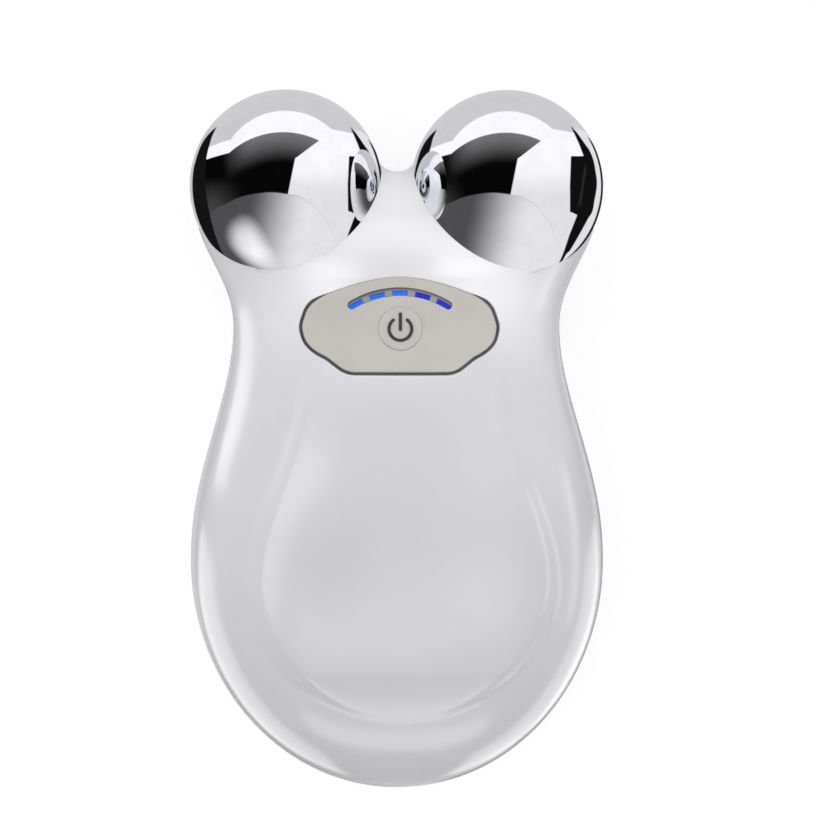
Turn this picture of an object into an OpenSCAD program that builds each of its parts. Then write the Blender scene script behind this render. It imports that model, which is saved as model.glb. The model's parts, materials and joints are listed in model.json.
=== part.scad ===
// Facial toning device: two polished metal spheres set in a palm-sized body.
// It lies on its back. X runs across, +Y towards the spheres, +Z out of the front face.
// The origin is on the surface it rests on, under the middle of the device. Millimetres.

/* [Body] */
// Length from the tail to the top of the spheres
body_len = 97; // [88:0.5:108]
// Largest width of the body
body_w = 57.2; // [56:0.2:62]
// Width of the neck below the spheres
neck_w = 45.4; // [44:0.2:48]
// Distance from the sphere centres back to the neck
neck_drop = 19.7; // [19.2:0.1:21]
// Distance from the tail to the widest place
tail_len = 31.5; // [30:0.5:34]
// Height of the joint between the two covers above the back
joint_h = 22; // [20:0.5:26]
// Rise of the front face above that joint
front_h = 17; // [16:0.5:20]
// Rise of the shoulders under the spheres above that joint
shoulder_h = 9.6; // [9.6:0.1:10.8]
// Depth of the shoulders behind that joint
shoulder_depth = 12.5; // [11:0.5:14]
// Extra depth that the flat of the back cuts off
back_cut = 1.4; // [0.8:0.1:2]
// Height of the palm pad on the front face
pad_h = 1.2; // [0.6:0.1:1.8]
// Largest width of the palm pad
pad_w = 41.4; // [38:0.2:44]
// Wall of both covers
wall = 2.2; // [1.8:0.1:2.6]

/* [Spheres] */
// Diameter of each sphere
sphere_d = 26.8; // [26:0.1:27.4]
// Distance between the sphere centres
sphere_pitch = 30.8; // [30.6:0.1:33]
// Wall of each hollow sphere
sphere_wall = 0.7; // [0.6:0.1:1.2]
// Gap between a sphere and its socket
socket_gap = 0.1; // [0.1:0.05:0.4]
// Wall of the sockets
socket_wall = 1.6; // [1.4:0.1:2]
// Turn of each sphere's stud from the length of the body, inwards
stud_turn = 20; // [16:1:24]
// Diameter of the studs
stud_d = 3; // [2.6:0.1:3.4]
// Length of a stud beyond its nut
stud_end = 1.4; // [1:0.1:2]
// Width across the flats of the stud nuts
nut_w = 5.5; // [5:0.1:6]
// Thickness of the stud nuts
nut_t = 2.4; // [2:0.1:2.8]

/* [Control panel] */
// Width of the panel plate
panel_w = 26.8; // [26:0.1:27.6]
// Thickness of the panel plate at its ends
panel_t = 1.5; // [1.3:0.1:1.8]
// Thickness of the panel plate around the button
web_t = 2; // [1.8:0.1:2.2]
// Width of the soft seal along the sides of the panel
seal_w = 0.42; // [0.3:0.02:0.5]
// Width of the ledge that the panel rests on
ledge_w = 0.8; // [0.6:0.1:1]
// Diameter of the power button
button_d = 6; // [5.6:0.1:6.6]
// Travel of the power button
button_travel = 0.4; // [0.2:0.05:0.45]
// Height of the button above the panel
button_proud = 0.2; // [0.1:0.05:0.4]
// Radial running clearance of the button
button_gap = 0.05; // [0.05:0.01:0.1]
// Radius of the level light's slot, to its middle line
level_r = 12.8; // [12.4:0.05:13.2]
// Radial width of the level light
level_w = 1.1; // [0.8:0.05:1.2]
// Number of level segments
level_count = 5; // [3:1:7]
// Angle between neighbouring level segments
level_step = 14.4; // [13.6:0.1:15]
// Angle that one level segment covers
level_span = 10; // [9:0.1:11]

/* [Boards and battery] */
// Thickness of the control board
control_t = 1; // [0.8:0.1:1.2]
// Thickness of the main board
board_t = 1.2; // [1:0.1:1.6]
// Distance from the covers' joint down to the underside of the main board
board_drop = 8; // [7:0.5:8.5]
// Width of the main board
board_w = 35; // [34:0.5:36]
// Width of the battery
battery_w = 25; // [20:0.5:25.5]
// Distance from the tail to the end of the battery
battery_end = 16.5; // [16:0.5:24]
// Thickness of the battery
battery_t = 6; // [5:0.5:7]
// Thickness of the foam pad under the battery
foam_t = 2.8; // [2.4:0.2:3.2]
// Distance that the foam pad stays back from both ends of the battery
foam_end = 5; // [4:0.5:9]
// Distance that the foam pad stays back from both sides of the battery
foam_side = 2.5; // [2:0.25:6]
// Diameter of the capacitors
capacitor_d = 5; // [4:0.1:5.2]
// Height of the capacitors
capacitor_h = 7.5; // [5:0.1:8]
// Diameter of the step-up coil
coil_d = 8; // [6:0.1:8.4]
// Height of the step-up coil
coil_h = 6; // [5:0.1:7]
// Diameter of the buzzer
buzzer_d = 9; // [7:0.1:9.4]
// Height of the buzzer
buzzer_h = 4.5; // [3:0.1:6]
// Diameter of the insulated leads
lead_d = 1.2; // [1:0.1:1.4]
// Width of the charging socket
socket_w = 7.5; // [7:0.1:7.8]
// Height of the charging socket
socket_h = 2.7; // [2.4:0.1:3]
// Length of the charging socket
socket_len = 5.6; // [5:0.1:6]

/* [Fasteners] */
// Shank diameter of the housing screws
screw_d = 2.4; // [2:0.1:2.6]
// Head diameter of the housing screws
screw_head_d = 4.4; // [4:0.1:4.6]
// Length of the housing screws under the head
screw_len = 12; // [11:0.5:12.5]
// Diameter of the bosses around the housing screws
boss_d = 6.6; // [6.4:0.1:7]
// Shank diameter of the board screws
board_screw_d = 1.8; // [1.6:0.1:2]
// Head diameter of the board screws
board_head_d = 3.4; // [3:0.1:3.6]

/* [Hidden] */

$fn = 48;
hair = 0.02;                // touching faces that must not overlap
cut = 1;                    // how far a cutter runs past what it cuts
fit = 0.05;                 // radial clearance of fixed pieces
SIDES = [-1, 1];

// Places along the length
tail_y = -body_len / 2;
sphere_r = sphere_d / 2;
sphere_x = sphere_pitch / 2;
sphere_y = body_len / 2 - sphere_r;
neck_y = sphere_y - neck_drop;
wide_y = tail_y + tail_len;
half_w = body_w / 2;
neck_half = neck_w / 2;

// The body ends beside each sphere in a horn, and between the spheres in a post
horn_turn = 26;
horn_swell = 1.5;           // how far the outline stands out below the horn
horn_x = sphere_x + sphere_r * cos(horn_turn) + socket_gap;
horn_y = sphere_y - sphere_r * sin(horn_turn);
post_y = sphere_y + 3;
notch_r = 2.9;              // of the round notch in the end of the post
notch_depth = 1.1;

// Front face: highest at the crest, level at the shoulder, then down to the post
crest_y = wide_y + 3;
shoulder_y = neck_y + 6.6;

// Back: deepest between two places, then up to the shoulders
deep_y = [wide_y - 3, neck_y - 12];
rise_y = neck_y + 10.6;
back_h = joint_h + back_cut;

// Palm pad on the front face
pad_wide_y = wide_y - 3;
pad_low_y = tail_y + 9.7;
pad_top_y = neck_y - 7;
pad_fade = 8;
pad_neck = 0.66;            // share of the pad's width that is left at its top
pad_soft = 1.6;             // half the width of the pad's sloping edge
pad_crease_y = tail_y + 15.9; // from here the pad's face falls towards its low end
pad_fall = 0.95;            // share of the pad's height that it falls by

// Rings and points of the body's surface
RINGS = 34;
RING_STEPS = 28;
INNER_RINGS = 24;
INNER_STEPS = 20;

function share(v, from, to) = max(0, min(1, (v - from) / (to - from)));
function smooth(t) = t * t * (3 - 2 * t);
function rounded(t, n) = pow(max(0, 1 - pow(max(0, t), n)), 1 / n);

// Roundness of the body's section: the front is flatter in the palm part than at the neck
FRONT_N = [3, 1.8];
back_n = 2.6;
function front_n(y) =
    FRONT_N[0] + (FRONT_N[1] - FRONT_N[0]) * pow(smooth(share(y, crest_y, shoulder_y)), 2);

// Half the width of the body at y, drawn in by g
function half_width(y, g = 0) =
    y < wide_y ? (half_w - g) * rounded((wide_y - y) / (wide_y - tail_y - g), 2)
    : y < neck_y ? neck_half - g
        + (half_w - neck_half) * (1 - smooth(pow(share(y, wide_y, neck_y), 1.12)))
    : y < horn_y ? neck_half - g + (horn_x - neck_half) * pow(share(y, neck_y, horn_y), 2.3)
        * (1 + horn_swell * share(y, horn_y, neck_y))
    : (horn_x - g) * rounded((y - horn_y) / (post_y - g - horn_y), 2);

// Rise of the front above the joint along the middle, drawn in by g
function front_rise(y, g = 0) =
    y < crest_y ? (front_h - g) * rounded((crest_y - y) / (crest_y - tail_y - g), 2.8)
    : y < shoulder_y ? shoulder_h - g
        + (front_h - shoulder_h) * (1 - smooth(share(y, crest_y, shoulder_y)))
    : (shoulder_h - g) * rounded((y - shoulder_y) / (post_y - g - shoulder_y), 1.6);

// Depth of the back behind the joint along the middle, drawn in by g
function back_depth(y, g = 0) =
    y < deep_y[0] ? (back_h - g) * rounded((deep_y[0] - y) / (deep_y[0] - tail_y - g), 2.3)
    : y < rise_y ? shoulder_depth - g
        + (back_h - shoulder_depth) * (1 - smooth(share(y, deep_y[1], rise_y)))
    : (shoulder_depth - g) * rounded((y - rise_y) / (post_y - g - rise_y), 2);

// Half the width of the palm pad at y
function pad_half(y) =
    y < pad_wide_y ? pad_w / 2 * rounded((pad_wide_y - y) / (pad_wide_y - pad_low_y), 1.85)
    : pad_w / 2 * (1 - (1 - pad_neck) * smooth(share(y, pad_wide_y, pad_top_y)));

// Height that the pad adds at x, y
function pad_rise(x, y) =
    pad_h * smooth(share(pad_half(y) - abs(x), -pad_soft, pad_soft))
    * (1 - pad_fall * share(y, pad_crease_y, pad_low_y))
    * smooth(share(y, pad_top_y + pad_fade / 2, pad_top_y - pad_fade / 2));

// Height of the front face above the back at x, y
function front_z(x, y) =
    joint_h + front_rise(y) * rounded(abs(x) / half_width(y), front_n(y)) + pad_rise(x, y);

// One half ring of the surface: side 1 is the front, side -1 the back
function half_ring(y, g, side, steps) =
    let (end = 0.1,
        yy = max(tail_y + g + end, min(post_y - g - end, y)),
        w = half_width(yy, g),
        n = side > 0 ? front_n(yy) : back_n,
        h = side > 0 ? front_rise(yy, g) : back_depth(yy, g))
    [for (i = [0:steps])
        let (a = 180 * i / steps,
            x = -w * sign(cos(a)) * pow(abs(cos(a)), 2 / n))
        [x, y, joint_h + side * (h * pow(sin(a), 2 / n)
            + (side > 0 ? pad_rise(x, yy) * pow(sin(a), 0.5) : 0))]];

// Rings lie closer together towards both ends
function ring_y(i, rings, g) =
    tail_y + g + (post_y - tail_y - 2 * g) * (1 - cos(180 * i / rings)) / 2;

// Closed solid of one half of the body, drawn in by g, with a skirt across the joint
module half_body(side, g = 0, skirt = 0, rings = RINGS, steps = RING_STEPS) {
    low = joint_h - side * skirt;
    row = steps + 3;
    points = [for (i = [0:rings])
        let (y = ring_y(i, rings, g), ring = half_ring(y, g, side, steps))
        each concat([[ring[0][0], y, low]], ring, [[ring[steps][0], y, low]])];
    used = [for (j = [0:row - 1]) if (skirt > 0 || (j > 0 && j < row - 1)) j];
    n = len(used);
    sides = [for (i = [0:rings - 1], k = [0:n - 1])
        let (a = i * row + used[k], b = i * row + used[(k + 1) % n])
        each [[a, b, b + row], [a, b + row, a + row]]];
    start = [for (k = [n - 1:-1:0]) used[k]];
    finish = [for (k = [0:n - 1]) rings * row + used[k]];
    faces = concat(sides, [start, finish]);
    polyhedron(points, side < 0 ? faces : [for (f = faces) [for (k = [len(f) - 1:-1:0]) f[k]]]);
}

// Outline of the joint, drawn in by g
function rim(g) =
    let (right = [for (i = [0:INNER_RINGS])
        let (y = ring_y(i, INNER_RINGS, g)) [half_width(y, g), y]])
    concat(right, [for (i = [INNER_RINGS - 1:-1:1]) [-right[i][0], right[i][1]]]);

module at_spheres() {
    for (side = SIDES) translate([side * sphere_x, sphere_y, joint_h]) children();
}

// Turns +Z into the way a stud points, from the sphere's centre into the body
module stud_frame(side) {
    translate([side * sphere_x, sphere_y, joint_h])
        rotate([0, 0, side * -stud_turn]) rotate([90, 0, 0]) children();
}

// Distances along a stud from the sphere's centre
socket_r = sphere_r + socket_gap;
seat_s = socket_r + socket_wall + 0.7;
terminal_t = 0.5;
nut_s = seat_s + terminal_t;
stud_from = sphere_r - 5;
stud_to = nut_s + nut_t + stud_end;
seat_r = 4;
ring_seal_r = 2.5;          // of the O-ring's middle line
ring_seal_t = 1;
ring_seal_s = socket_r + 0.2;

// Housing screws: two under the shoulders, two by the tail
screw_y = [neck_y - 1.4, wide_y - 19];
screw_x = [neck_half - 4.2, half_width(screw_y[1]) - 5.8];
screw_z = joint_h - 8;      // underside of the heads
head_t = 1.8;
plug_gap = 0.3;

module at_screws() {
    for (i = [0:1], side = SIDES) translate([side * screw_x[i], screw_y[i], 0]) children();
}

// Control panel, from its face down to the board
button_y = neck_y - 0.35;
face_z = front_z(0, button_y);
panel_half = panel_w / 2;
seat_z = front_z(panel_half - 0.2, neck_y) - panel_t;
web_z = face_z - web_t;
frame_z = seat_z - 1.5;
flange_t = 0.7;
flange_d = button_d + 2;
flange_z = web_z - fit - flange_t;
stem_d = 2.4;
plunger_z = flange_z - 0.5;
plunger_len = 1.5;
switch_z = plunger_z - 0.7;
switch_t = 1.6;
control_top = switch_z - switch_t;
control_z = control_top - control_t;
light_t = 0.6;
guide_z = control_top + light_t + 0.2;
level_y = neck_y - 8;       // centre of the level light's arc

// Points of the panel's right half from its top middle, from the neck, in panel half widths
PANEL_HALF = [[0, 6.8], [0.235, 6.5], [0.4, 6.03], [0.57, 5.36], [0.74, 4.5], [0.86, 3.6], [0.935, 2.6],
    [0.975, 1.4], [1, 0.1], [0.99, -1], [0.966, -1.94], [0.913, -2.85], [0.84, -3.6], [0.75, -4.27],
    [0.663, -5.18], [0.59, -5.88], [0.51, -6.25], [0.4, -6.31], [0, -6.33]];
PANEL_STEPS = 2;

function spline(p0, p1, p2, p3, t) =
    0.5 * (2 * p1 + (p2 - p0) * t + (2 * p0 - 5 * p1 + 4 * p2 - p3) * t * t
        + (3 * p1 - p0 - 3 * p2 + p3) * t * t * t);
function mirror_x(p) = [-p[0], p[1]];

PANEL_KNOTS = concat(PANEL_HALF, [for (i = [len(PANEL_HALF) - 2:-1:1]) mirror_x(PANEL_HALF[i])]);
function knot(i) =
    let (n = len(PANEL_KNOTS), p = PANEL_KNOTS[(i + n) % n])
    [p[0] * panel_half, neck_y + p[1]];
PANEL_LINE = [for (i = [0:len(PANEL_KNOTS) - 1], s = [0:PANEL_STEPS - 1])
    spline(knot(i - 1), knot(i), knot(i + 1), knot(i + 2), s / PANEL_STEPS)];

SEAL_FADE = [5, 3];         // the seal thins out between these, measured from the neck
seal_top = 4.4;             // where it ends

// Panel outline moved outwards by g, less of it along the plain top edge when fade is set
function panel_outline(g, fade = false) =
    let (n = len(PANEL_LINE))
    [for (i = [0:n - 1])
        let (d = PANEL_LINE[(i + 1) % n] - PANEL_LINE[(i + n - 1) % n],
            out = [-d[1], d[0]] / norm(d),
            y = PANEL_LINE[i][1] - neck_y,
            g_here = fade ? g * smooth(share(y, SEAL_FADE[0], SEAL_FADE[1])) : g)
        PANEL_LINE[i] + g_here * out];

// A prism of the panel's outline from z upwards
module panel_prism(z, h, g, fade = false) {
    translate([0, 0, z]) linear_extrude(h) polygon(panel_outline(g, fade));
}

// Boards
control_hole = [10.8, neck_y - 8.6];
control_screw_len = 3.4;
main_hole_x = board_w / 2 - 2.2;
main_hole_y = [neck_y - 11.4, wide_y - 7];
main_screw_len = 6;
board_z = joint_h - board_drop;
board_top = board_z + board_t;
board_y = [tail_y + 6, neck_y - 7.4];
board_neck_y = wide_y - 11;
board_tongue = 5;
battery_z = wall + foam_t;
battery_y = neck_y - 9.4;
battery_len = battery_y - tail_y - battery_end;
foam_len = battery_len - 2 * foam_end;
head_h = 1.2;
post_d = 4.6;
header_y = neck_y - 11.9;
header_pins = 5;
header_pitch = 2;
header_h = 2.5;
pin_w = 0.64;
pin_tail = 0.6;

module at_control_holes() {
    for (side = SIDES) translate([side * control_hole[0], control_hole[1], 0]) children();
}
module at_main_holes() {
    for (side = SIDES, y = main_hole_y) translate([side * main_hole_x, y, 0]) children();
}

// Charging socket, set back in the tail
port_gap = 0.4;
port_y = tail_y + 1.6;
port_z = board_top + socket_h / 2;

// A bar with round ends along Z, for the port and the socket
module slot_bar(w, h, len) {
    for (side = SIDES) translate([side * (w - h) / 2, 0, 0]) cylinder(h = len, d = h);
    translate([-(w - h) / 2, -h / 2, 0]) cube([w - h, h, len]);
}
module at_port(y) {
    translate([0, y, port_z]) rotate([-90, 0, 0]) children();
}

// A flat sector of a ring, seen from above, with its middle on +Y
module arc_sector(r, w, span, h) {
    rotate([0, 0, 90 - span / 2]) rotate_extrude(angle = span)
        translate([r - w / 2, 0]) square([w, h]);
}

// Outlines of bars with round ends: one bent round the origin with its middle on +Y, one straight
BEND_STEPS = 24;
END_STEPS = 8;
function at_turn(r, a) = [r * sin(a), r * cos(a)];
function bar_end(point, w, turn) =
    [for (i = [1:END_STEPS - 1]) point + at_turn(w / 2, turn + 180 * i / END_STEPS)];
function bent_bar(r, w, span) =
    let (half = span / 2,
        outer = [for (i = [0:BEND_STEPS]) at_turn(r + w / 2, span * i / BEND_STEPS - half)],
        inner = [for (i = [0:BEND_STEPS]) at_turn(r - w / 2, half - span * i / BEND_STEPS)])
    concat(outer, bar_end(at_turn(r, half), w, half), inner, bar_end(at_turn(r, -half), w, 180 - half));
function upright_bar(w, low, high) =
    concat([[-w / 2, high]], bar_end([0, high], w, -90), [[w / 2, high], [w / 2, low]],
        bar_end([0, low], w, 90), [[-w / 2, low]]);

// The level light's arc: the angle of its foot, and of its ridge between the round ends
level_turn = (level_count - 1) * level_step + level_span;
ridge_turn = level_turn - 2 * asin(level_w / 2 / level_r);

module level_ridge(w, z) {
    translate([0, level_y, z]) linear_extrude(joint_h) polygon(bent_bar(level_r, w, ridge_turn));
}

// A lead of round wire through a list of points, with a slightly thicker ball at each bend
bead = 0.06;
module lead(points) {
    for (i = [0:len(points) - 2])
        let (d = points[i + 1] - points[i], l = norm(d))
        translate(points[i]) rotate([0, acos(d[2] / l), atan2(d[1], d[0])])
            cylinder(h = l, d = lead_d, $fn = 24);
    for (i = [1:len(points) - 2]) translate(points[i]) sphere(d = lead_d + bead, $fn = 24);
}

// Bores that both covers share: sphere sockets, stud holes and seal grooves
module socket_cuts() {
    at_spheres() sphere(r = socket_r, $fn = 96);
    for (side = SIDES) stud_frame(side) {
        cylinder(h = stud_to + cut, d = stud_d + 0.5);
        cylinder(h = ring_seal_s + ring_seal_t / 2 + 0.1, d = 2 * ring_seal_r + ring_seal_t + 0.3);
    }
    translate([0, post_y - notch_depth + notch_r, 0]) cylinder(h = 2 * joint_h, r = notch_r);
}

// Walls that both covers share inside: sphere sockets and the seats of the ring terminals
module socket_walls() {
    at_spheres() sphere(r = socket_r + socket_wall, $fn = 96);
    for (side = SIDES) stud_frame(side) cylinder(h = seat_s, r = seat_r);
}

module front_cover() {
    boss_top = screw_z + screw_len + 0.5;
    color("whitesmoke") difference() {
        half_body(1);
        difference() {
            half_body(1, wall, cut, INNER_RINGS, INNER_STEPS);
            socket_walls();
            at_screws() cylinder(h = 3 * joint_h, d = boss_d);
            at_control_holes() translate([0, 0, control_top]) cylinder(h = joint_h, d = post_d);
            panel_prism(frame_z, joint_h, 2.4);
        }
        socket_cuts();
        panel_prism(seat_z, joint_h, seal_w + hair, true);
        panel_prism(joint_h, joint_h, -ledge_w);
        at_screws() translate([0, 0, joint_h - cut])
            cylinder(h = boss_top - joint_h + cut, d = screw_d);
        at_control_holes() translate([0, 0, control_top - cut])
            cylinder(h = control_screw_len + cut, d = board_screw_d);
    }
}

// Tongue on the rear cover that lines up the front cover
tongue_h = 1;
tongue_t = 1;
tongue_gap = 0.3;

module tongue() {
    difference() {
        union() {
            translate([0, 0, joint_h - 2.5]) linear_extrude(2.5) difference() {
                polygon(rim(wall - 0.4));
                polygon(rim(wall + tongue_gap + tongue_t));
            }
            translate([0, 0, joint_h - cut]) linear_extrude(tongue_h + cut) difference() {
                polygon(rim(wall + tongue_gap));
                polygon(rim(wall + tongue_gap + tongue_t));
            }
        }
        at_spheres() sphere(r = socket_r + socket_wall + tongue_gap);
        for (side = SIDES) stud_frame(side)
            cylinder(h = stud_to + cut, r = seat_r + tongue_gap);
        at_screws() translate([0, 0, joint_h]) cylinder(h = joint_h, r = boss_d / 2 + tongue_gap);
        at_screws() cylinder(h = 2 * joint_h, d = screw_d + 0.4);
        translate([-body_w / 2, horn_y, 0]) cube([body_w, body_len, 2 * joint_h]);
    }
}

module rear_cover() {
    color("white") {
        difference() {
            half_body(-1);
            difference() {
                half_body(-1, wall, cut, INNER_RINGS, INNER_STEPS);
                translate([-body_w / 2, tail_y, -joint_h]) cube([body_w, body_len, joint_h + wall]);
                socket_walls();
                at_screws() cylinder(h = 2 * joint_h, d = boss_d);
                at_main_holes() cylinder(h = board_z, d = post_d);
            }
            translate([-body_w, tail_y - cut, -2 * joint_h]) cube([2 * body_w, body_len, 2 * joint_h]);
            socket_cuts();
            at_screws() {
                translate([0, 0, -cut]) cylinder(h = screw_z + cut, d = screw_head_d + 2 * fit);
                cylinder(h = 2 * joint_h, d = screw_d + 0.4);
            }
            at_main_holes() translate([0, 0, board_z - main_screw_len])
                cylinder(h = main_screw_len + cut, d = board_screw_d);
            at_port(tail_y - cut) slot_bar(socket_w + 2 * port_gap, socket_h + 2 * port_gap, 2 * wall);
        }
        tongue();
    }
}

module panel_plate() {
    color("#c8c4be") difference() {
        intersection() {
            half_body(1);
            panel_prism(seat_z, joint_h, 0);
        }
        panel_prism(seat_z - cut, web_z - seat_z + cut, -ledge_w - 0.2);
        translate([0, button_y, 0]) cylinder(h = 3 * joint_h, d = button_d + 2 * button_gap);
        level_ridge(level_w + 2 * fit, seat_z - cut);
    }
}

module panel_seal() {
    color("dimgray") intersection() {
        half_body(1);
        difference() {
            panel_prism(seat_z, joint_h, seal_w, true);
            panel_prism(seat_z - cut, joint_h + 2 * cut, hair);
            translate([-panel_half, neck_y + seal_top, 0]) cube([panel_w, panel_w, 3 * joint_h]);
        }
    }
}

module power_button() {
    color("#cfcbc6") translate([0, button_y, 0]) {
        translate([0, 0, flange_z]) cylinder(h = face_z + button_proud - flange_z, d = button_d);
        translate([0, 0, flange_z]) cylinder(h = flange_t, d = flange_d);
        translate([0, 0, plunger_z + hair]) cylinder(h = flange_z - plunger_z, d = stem_d);
    }
}

// Power symbol: an open ring and an upright bar
symbol_r = 1.57;
symbol_line = 0.42;
symbol_gap = 76;
symbol_bar = [-0.1, 2.08];  // ends of the bar, from the ring's centre
symbol_t = 0.08;

module power_symbol() {
    color("#4a4a48") translate([0, button_y, face_z + button_proud]) linear_extrude(symbol_t) {
        rotate(180) polygon(bent_bar(symbol_r, symbol_line, 360 - symbol_gap));
        polygon(upright_bar(symbol_line, symbol_bar[0], symbol_bar[1]));
    }
}

module level_light_guide() {
    bar_w = level_w + 0.4;
    color("royalblue") {
        translate([0, level_y, guide_z])
            arc_sector(level_r, bar_w, level_turn, web_z - guide_z - hair);
        intersection() {
            half_body(1);
            level_ridge(level_w, web_z - cut);
        }
    }
}

module hollow_sphere(side) {
    color("silver") difference() {
        translate([side * sphere_x, sphere_y, joint_h]) sphere(r = sphere_r, $fn = 128);
        difference() {
            translate([side * sphere_x, sphere_y, joint_h])
                sphere(r = sphere_r - sphere_wall, $fn = 128);
            stud_frame(side) translate([0, 0, stud_from - cut]) cylinder(h = sphere_r, r = seat_r);
        }
        stud_frame(side) translate([0, 0, stud_from - 2 * cut]) cylinder(h = sphere_r, d = stud_d);
    }
}
module left_sphere() { hollow_sphere(-1); }
module right_sphere() { hollow_sphere(1); }

module stud(side) {
    color("goldenrod") stud_frame(side) translate([0, 0, stud_from])
        cylinder(h = stud_to - stud_from, d = stud_d);
}
module left_stud() { stud(-1); }
module right_stud() { stud(1); }

module sphere_seals() {
    color("dimgray") for (side = SIDES) stud_frame(side) translate([0, 0, ring_seal_s])
        rotate_extrude() translate([ring_seal_r, 0]) circle(d = ring_seal_t);
}

module stud_nuts() {
    color("gainsboro") for (side = SIDES) stud_frame(side) translate([0, 0, nut_s])
        difference() {
            cylinder(h = nut_t, d = nut_w / cos(30), $fn = 6);
            translate([0, 0, -cut]) cylinder(h = nut_t + 2 * cut, d = stud_d);
        }
}

// Ring terminals: a washer with a short tail that the lead is soldered to
terminal_d = 6.6;
tail_w = 1.8;
tail_out = 4.6;

module ring_terminals() {
    color("tan") for (side = SIDES) stud_frame(side) translate([0, 0, seat_s]) difference() {
        union() {
            cylinder(h = terminal_t, d = terminal_d);
            translate([-tail_w / 2, -tail_out, 0]) cube([tail_w, tail_out, terminal_t]);
        }
        translate([0, 0, -cut]) cylinder(h = terminal_t + 2 * cut, d = stud_d);
    }
}

// An electrode lead runs from its terminal's tail down to the main board
module left_lead() {
    s = seat_s + terminal_t;
    x = (s + lead_d / 2) * sin(stud_turn) - sphere_x;
    y = sphere_y - (s + lead_d / 2) * cos(stud_turn);
    top = joint_h - tail_out + 1.4;
    pad = [2.8 - main_hole_x, board_y[1] - 2];
    color("darkgreen")
        lead([[x, y, top], [x, y, top - 2], [pad[0], pad[1], top - 3], [pad[0], pad[1], board_top]]);
}
module right_lead() { mirror([1, 0, 0]) left_lead(); }

module control_board() {
    half = control_hole[0] + 2.4;
    low = neck_y - 14.4;
    outline = [[-half, low], [half, low], [half, neck_y + 0.4], [7.2, neck_y + 6.1],
        [-7.2, neck_y + 6.1], [-half, neck_y + 0.4]];
    color("seagreen") difference() {
        translate([0, 0, control_z]) linear_extrude(control_t) polygon(outline);
        at_control_holes() translate([0, 0, control_z - cut])
            cylinder(h = control_t + 2 * cut, d = board_screw_d + 2 * fit);
        at_pins() translate([0, 0, control_z - cut])
            cylinder(h = control_t + 2 * cut, d = pin_w + 4 * fit);
    }
}

// A pan-head screw with its head's underside at the origin and its shank along +Z
module screw(d, len, head_d, head_h, slot_w) {
    translate([0, 0, -hair]) cylinder(h = len + hair, d = d);
    difference() {
        translate([0, 0, -head_h]) cylinder(h = head_h, d = head_d);
        for (a = [0, 90]) rotate([0, 0, a])
            translate([-head_d * 0.3, -slot_w / 2, -head_h - cut])
                cube([head_d * 0.6, slot_w, head_h / 2 + cut]);
    }
}

module control_screws() {
    color("gainsboro") at_control_holes() translate([0, 0, control_z])
        screw(board_screw_d, control_t + control_screw_len - 0.4, board_head_d, head_h, 0.5);
}

module status_lights() {
    color("lightyellow") for (i = [0:level_count - 1])
        translate([0, level_y, control_top])
            rotate([0, 0, (i - (level_count - 1) / 2) * level_step])
                translate([-0.8, level_r - 0.4, 0]) cube([1.6, 0.8, light_t]);
}

switch_w = 4.6;
module switch_body() {
    color("silver") translate([0, button_y, control_top]) difference() {
        translate([-switch_w / 2, -switch_w / 2, 0]) cube([switch_w, switch_w, switch_t]);
        translate([0, 0, plunger_z - plunger_len - button_travel - control_top - 0.1])
            cylinder(h = switch_t, d = stem_d + 2 * fit);
    }
}

module switch_plunger() {
    color("black") translate([0, button_y, plunger_z - plunger_len])
        cylinder(h = plunger_len, d = stem_d);
}

module at_pins() {
    for (i = [0:header_pins - 1])
        translate([(i - (header_pins - 1) / 2) * header_pitch, header_y, 0]) children();
}

module link_header() {
    color("#202020") for (z = [board_top, control_z - header_h]) difference() {
        translate([-header_pins * header_pitch / 2, header_y - header_pitch / 2, z])
            cube([header_pins * header_pitch, header_pitch, header_h]);
        at_pins() translate([0, 0, z - cut]) cylinder(h = header_h + 2 * cut, d = pin_w);
    }
}

module link_pins() {
    color("gold") at_pins() translate([0, 0, board_z - pin_tail])
        cylinder(h = control_top - board_z + 2 * pin_tail, d = pin_w);
}

module main_board() {
    half = board_w / 2;
    outline = [[-board_tongue, board_y[0]], [board_tongue, board_y[0]],
        [board_tongue, board_neck_y - 7], [half, board_neck_y], [half, board_y[1]],
        [-half, board_y[1]], [-half, board_neck_y], [-board_tongue, board_neck_y - 7]];
    color("seagreen") difference() {
        translate([0, 0, board_z]) linear_extrude(board_t) polygon(outline);
        at_main_holes() translate([0, 0, board_z - cut])
            cylinder(h = board_t + 2 * cut, d = board_screw_d + 2 * fit);
        at_pins() translate([0, 0, board_z - cut])
            cylinder(h = board_t + 2 * cut, d = pin_w + 4 * fit);
    }
}

module main_screws() {
    color("gainsboro") at_main_holes() translate([0, 0, board_top]) mirror([0, 0, 1])
        screw(board_screw_d, board_t + main_screw_len - 0.4, board_head_d, head_h, 0.5);
}

// A square chip with a row of leads along two sides
module chip(w, h, leads) {
    difference() {
        translate([-w / 2, -w / 2, 0.1]) cube([w, w, h - 0.1]);
        translate([-w / 2 + 0.9, w / 2 - 0.9, h - 0.15]) cylinder(h = 1, d = 0.7);
    }
    for (side = SIDES, i = [0:leads - 1])
        translate([side * (w / 2 + 0.3) - 0.4, (i - (leads - 1) / 2) * w / (leads + 1) - 0.15, 0])
            cube([0.8, 0.3, 0.3]);
}

module controller_chip() {
    color("#202020") translate([0, neck_y - 19, board_top]) chip(7, 1.2, 8);
}
module charger_chip() {
    color("#202020") translate([8, wide_y - 6, board_top]) chip(4, 1.2, 4);
}

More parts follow.
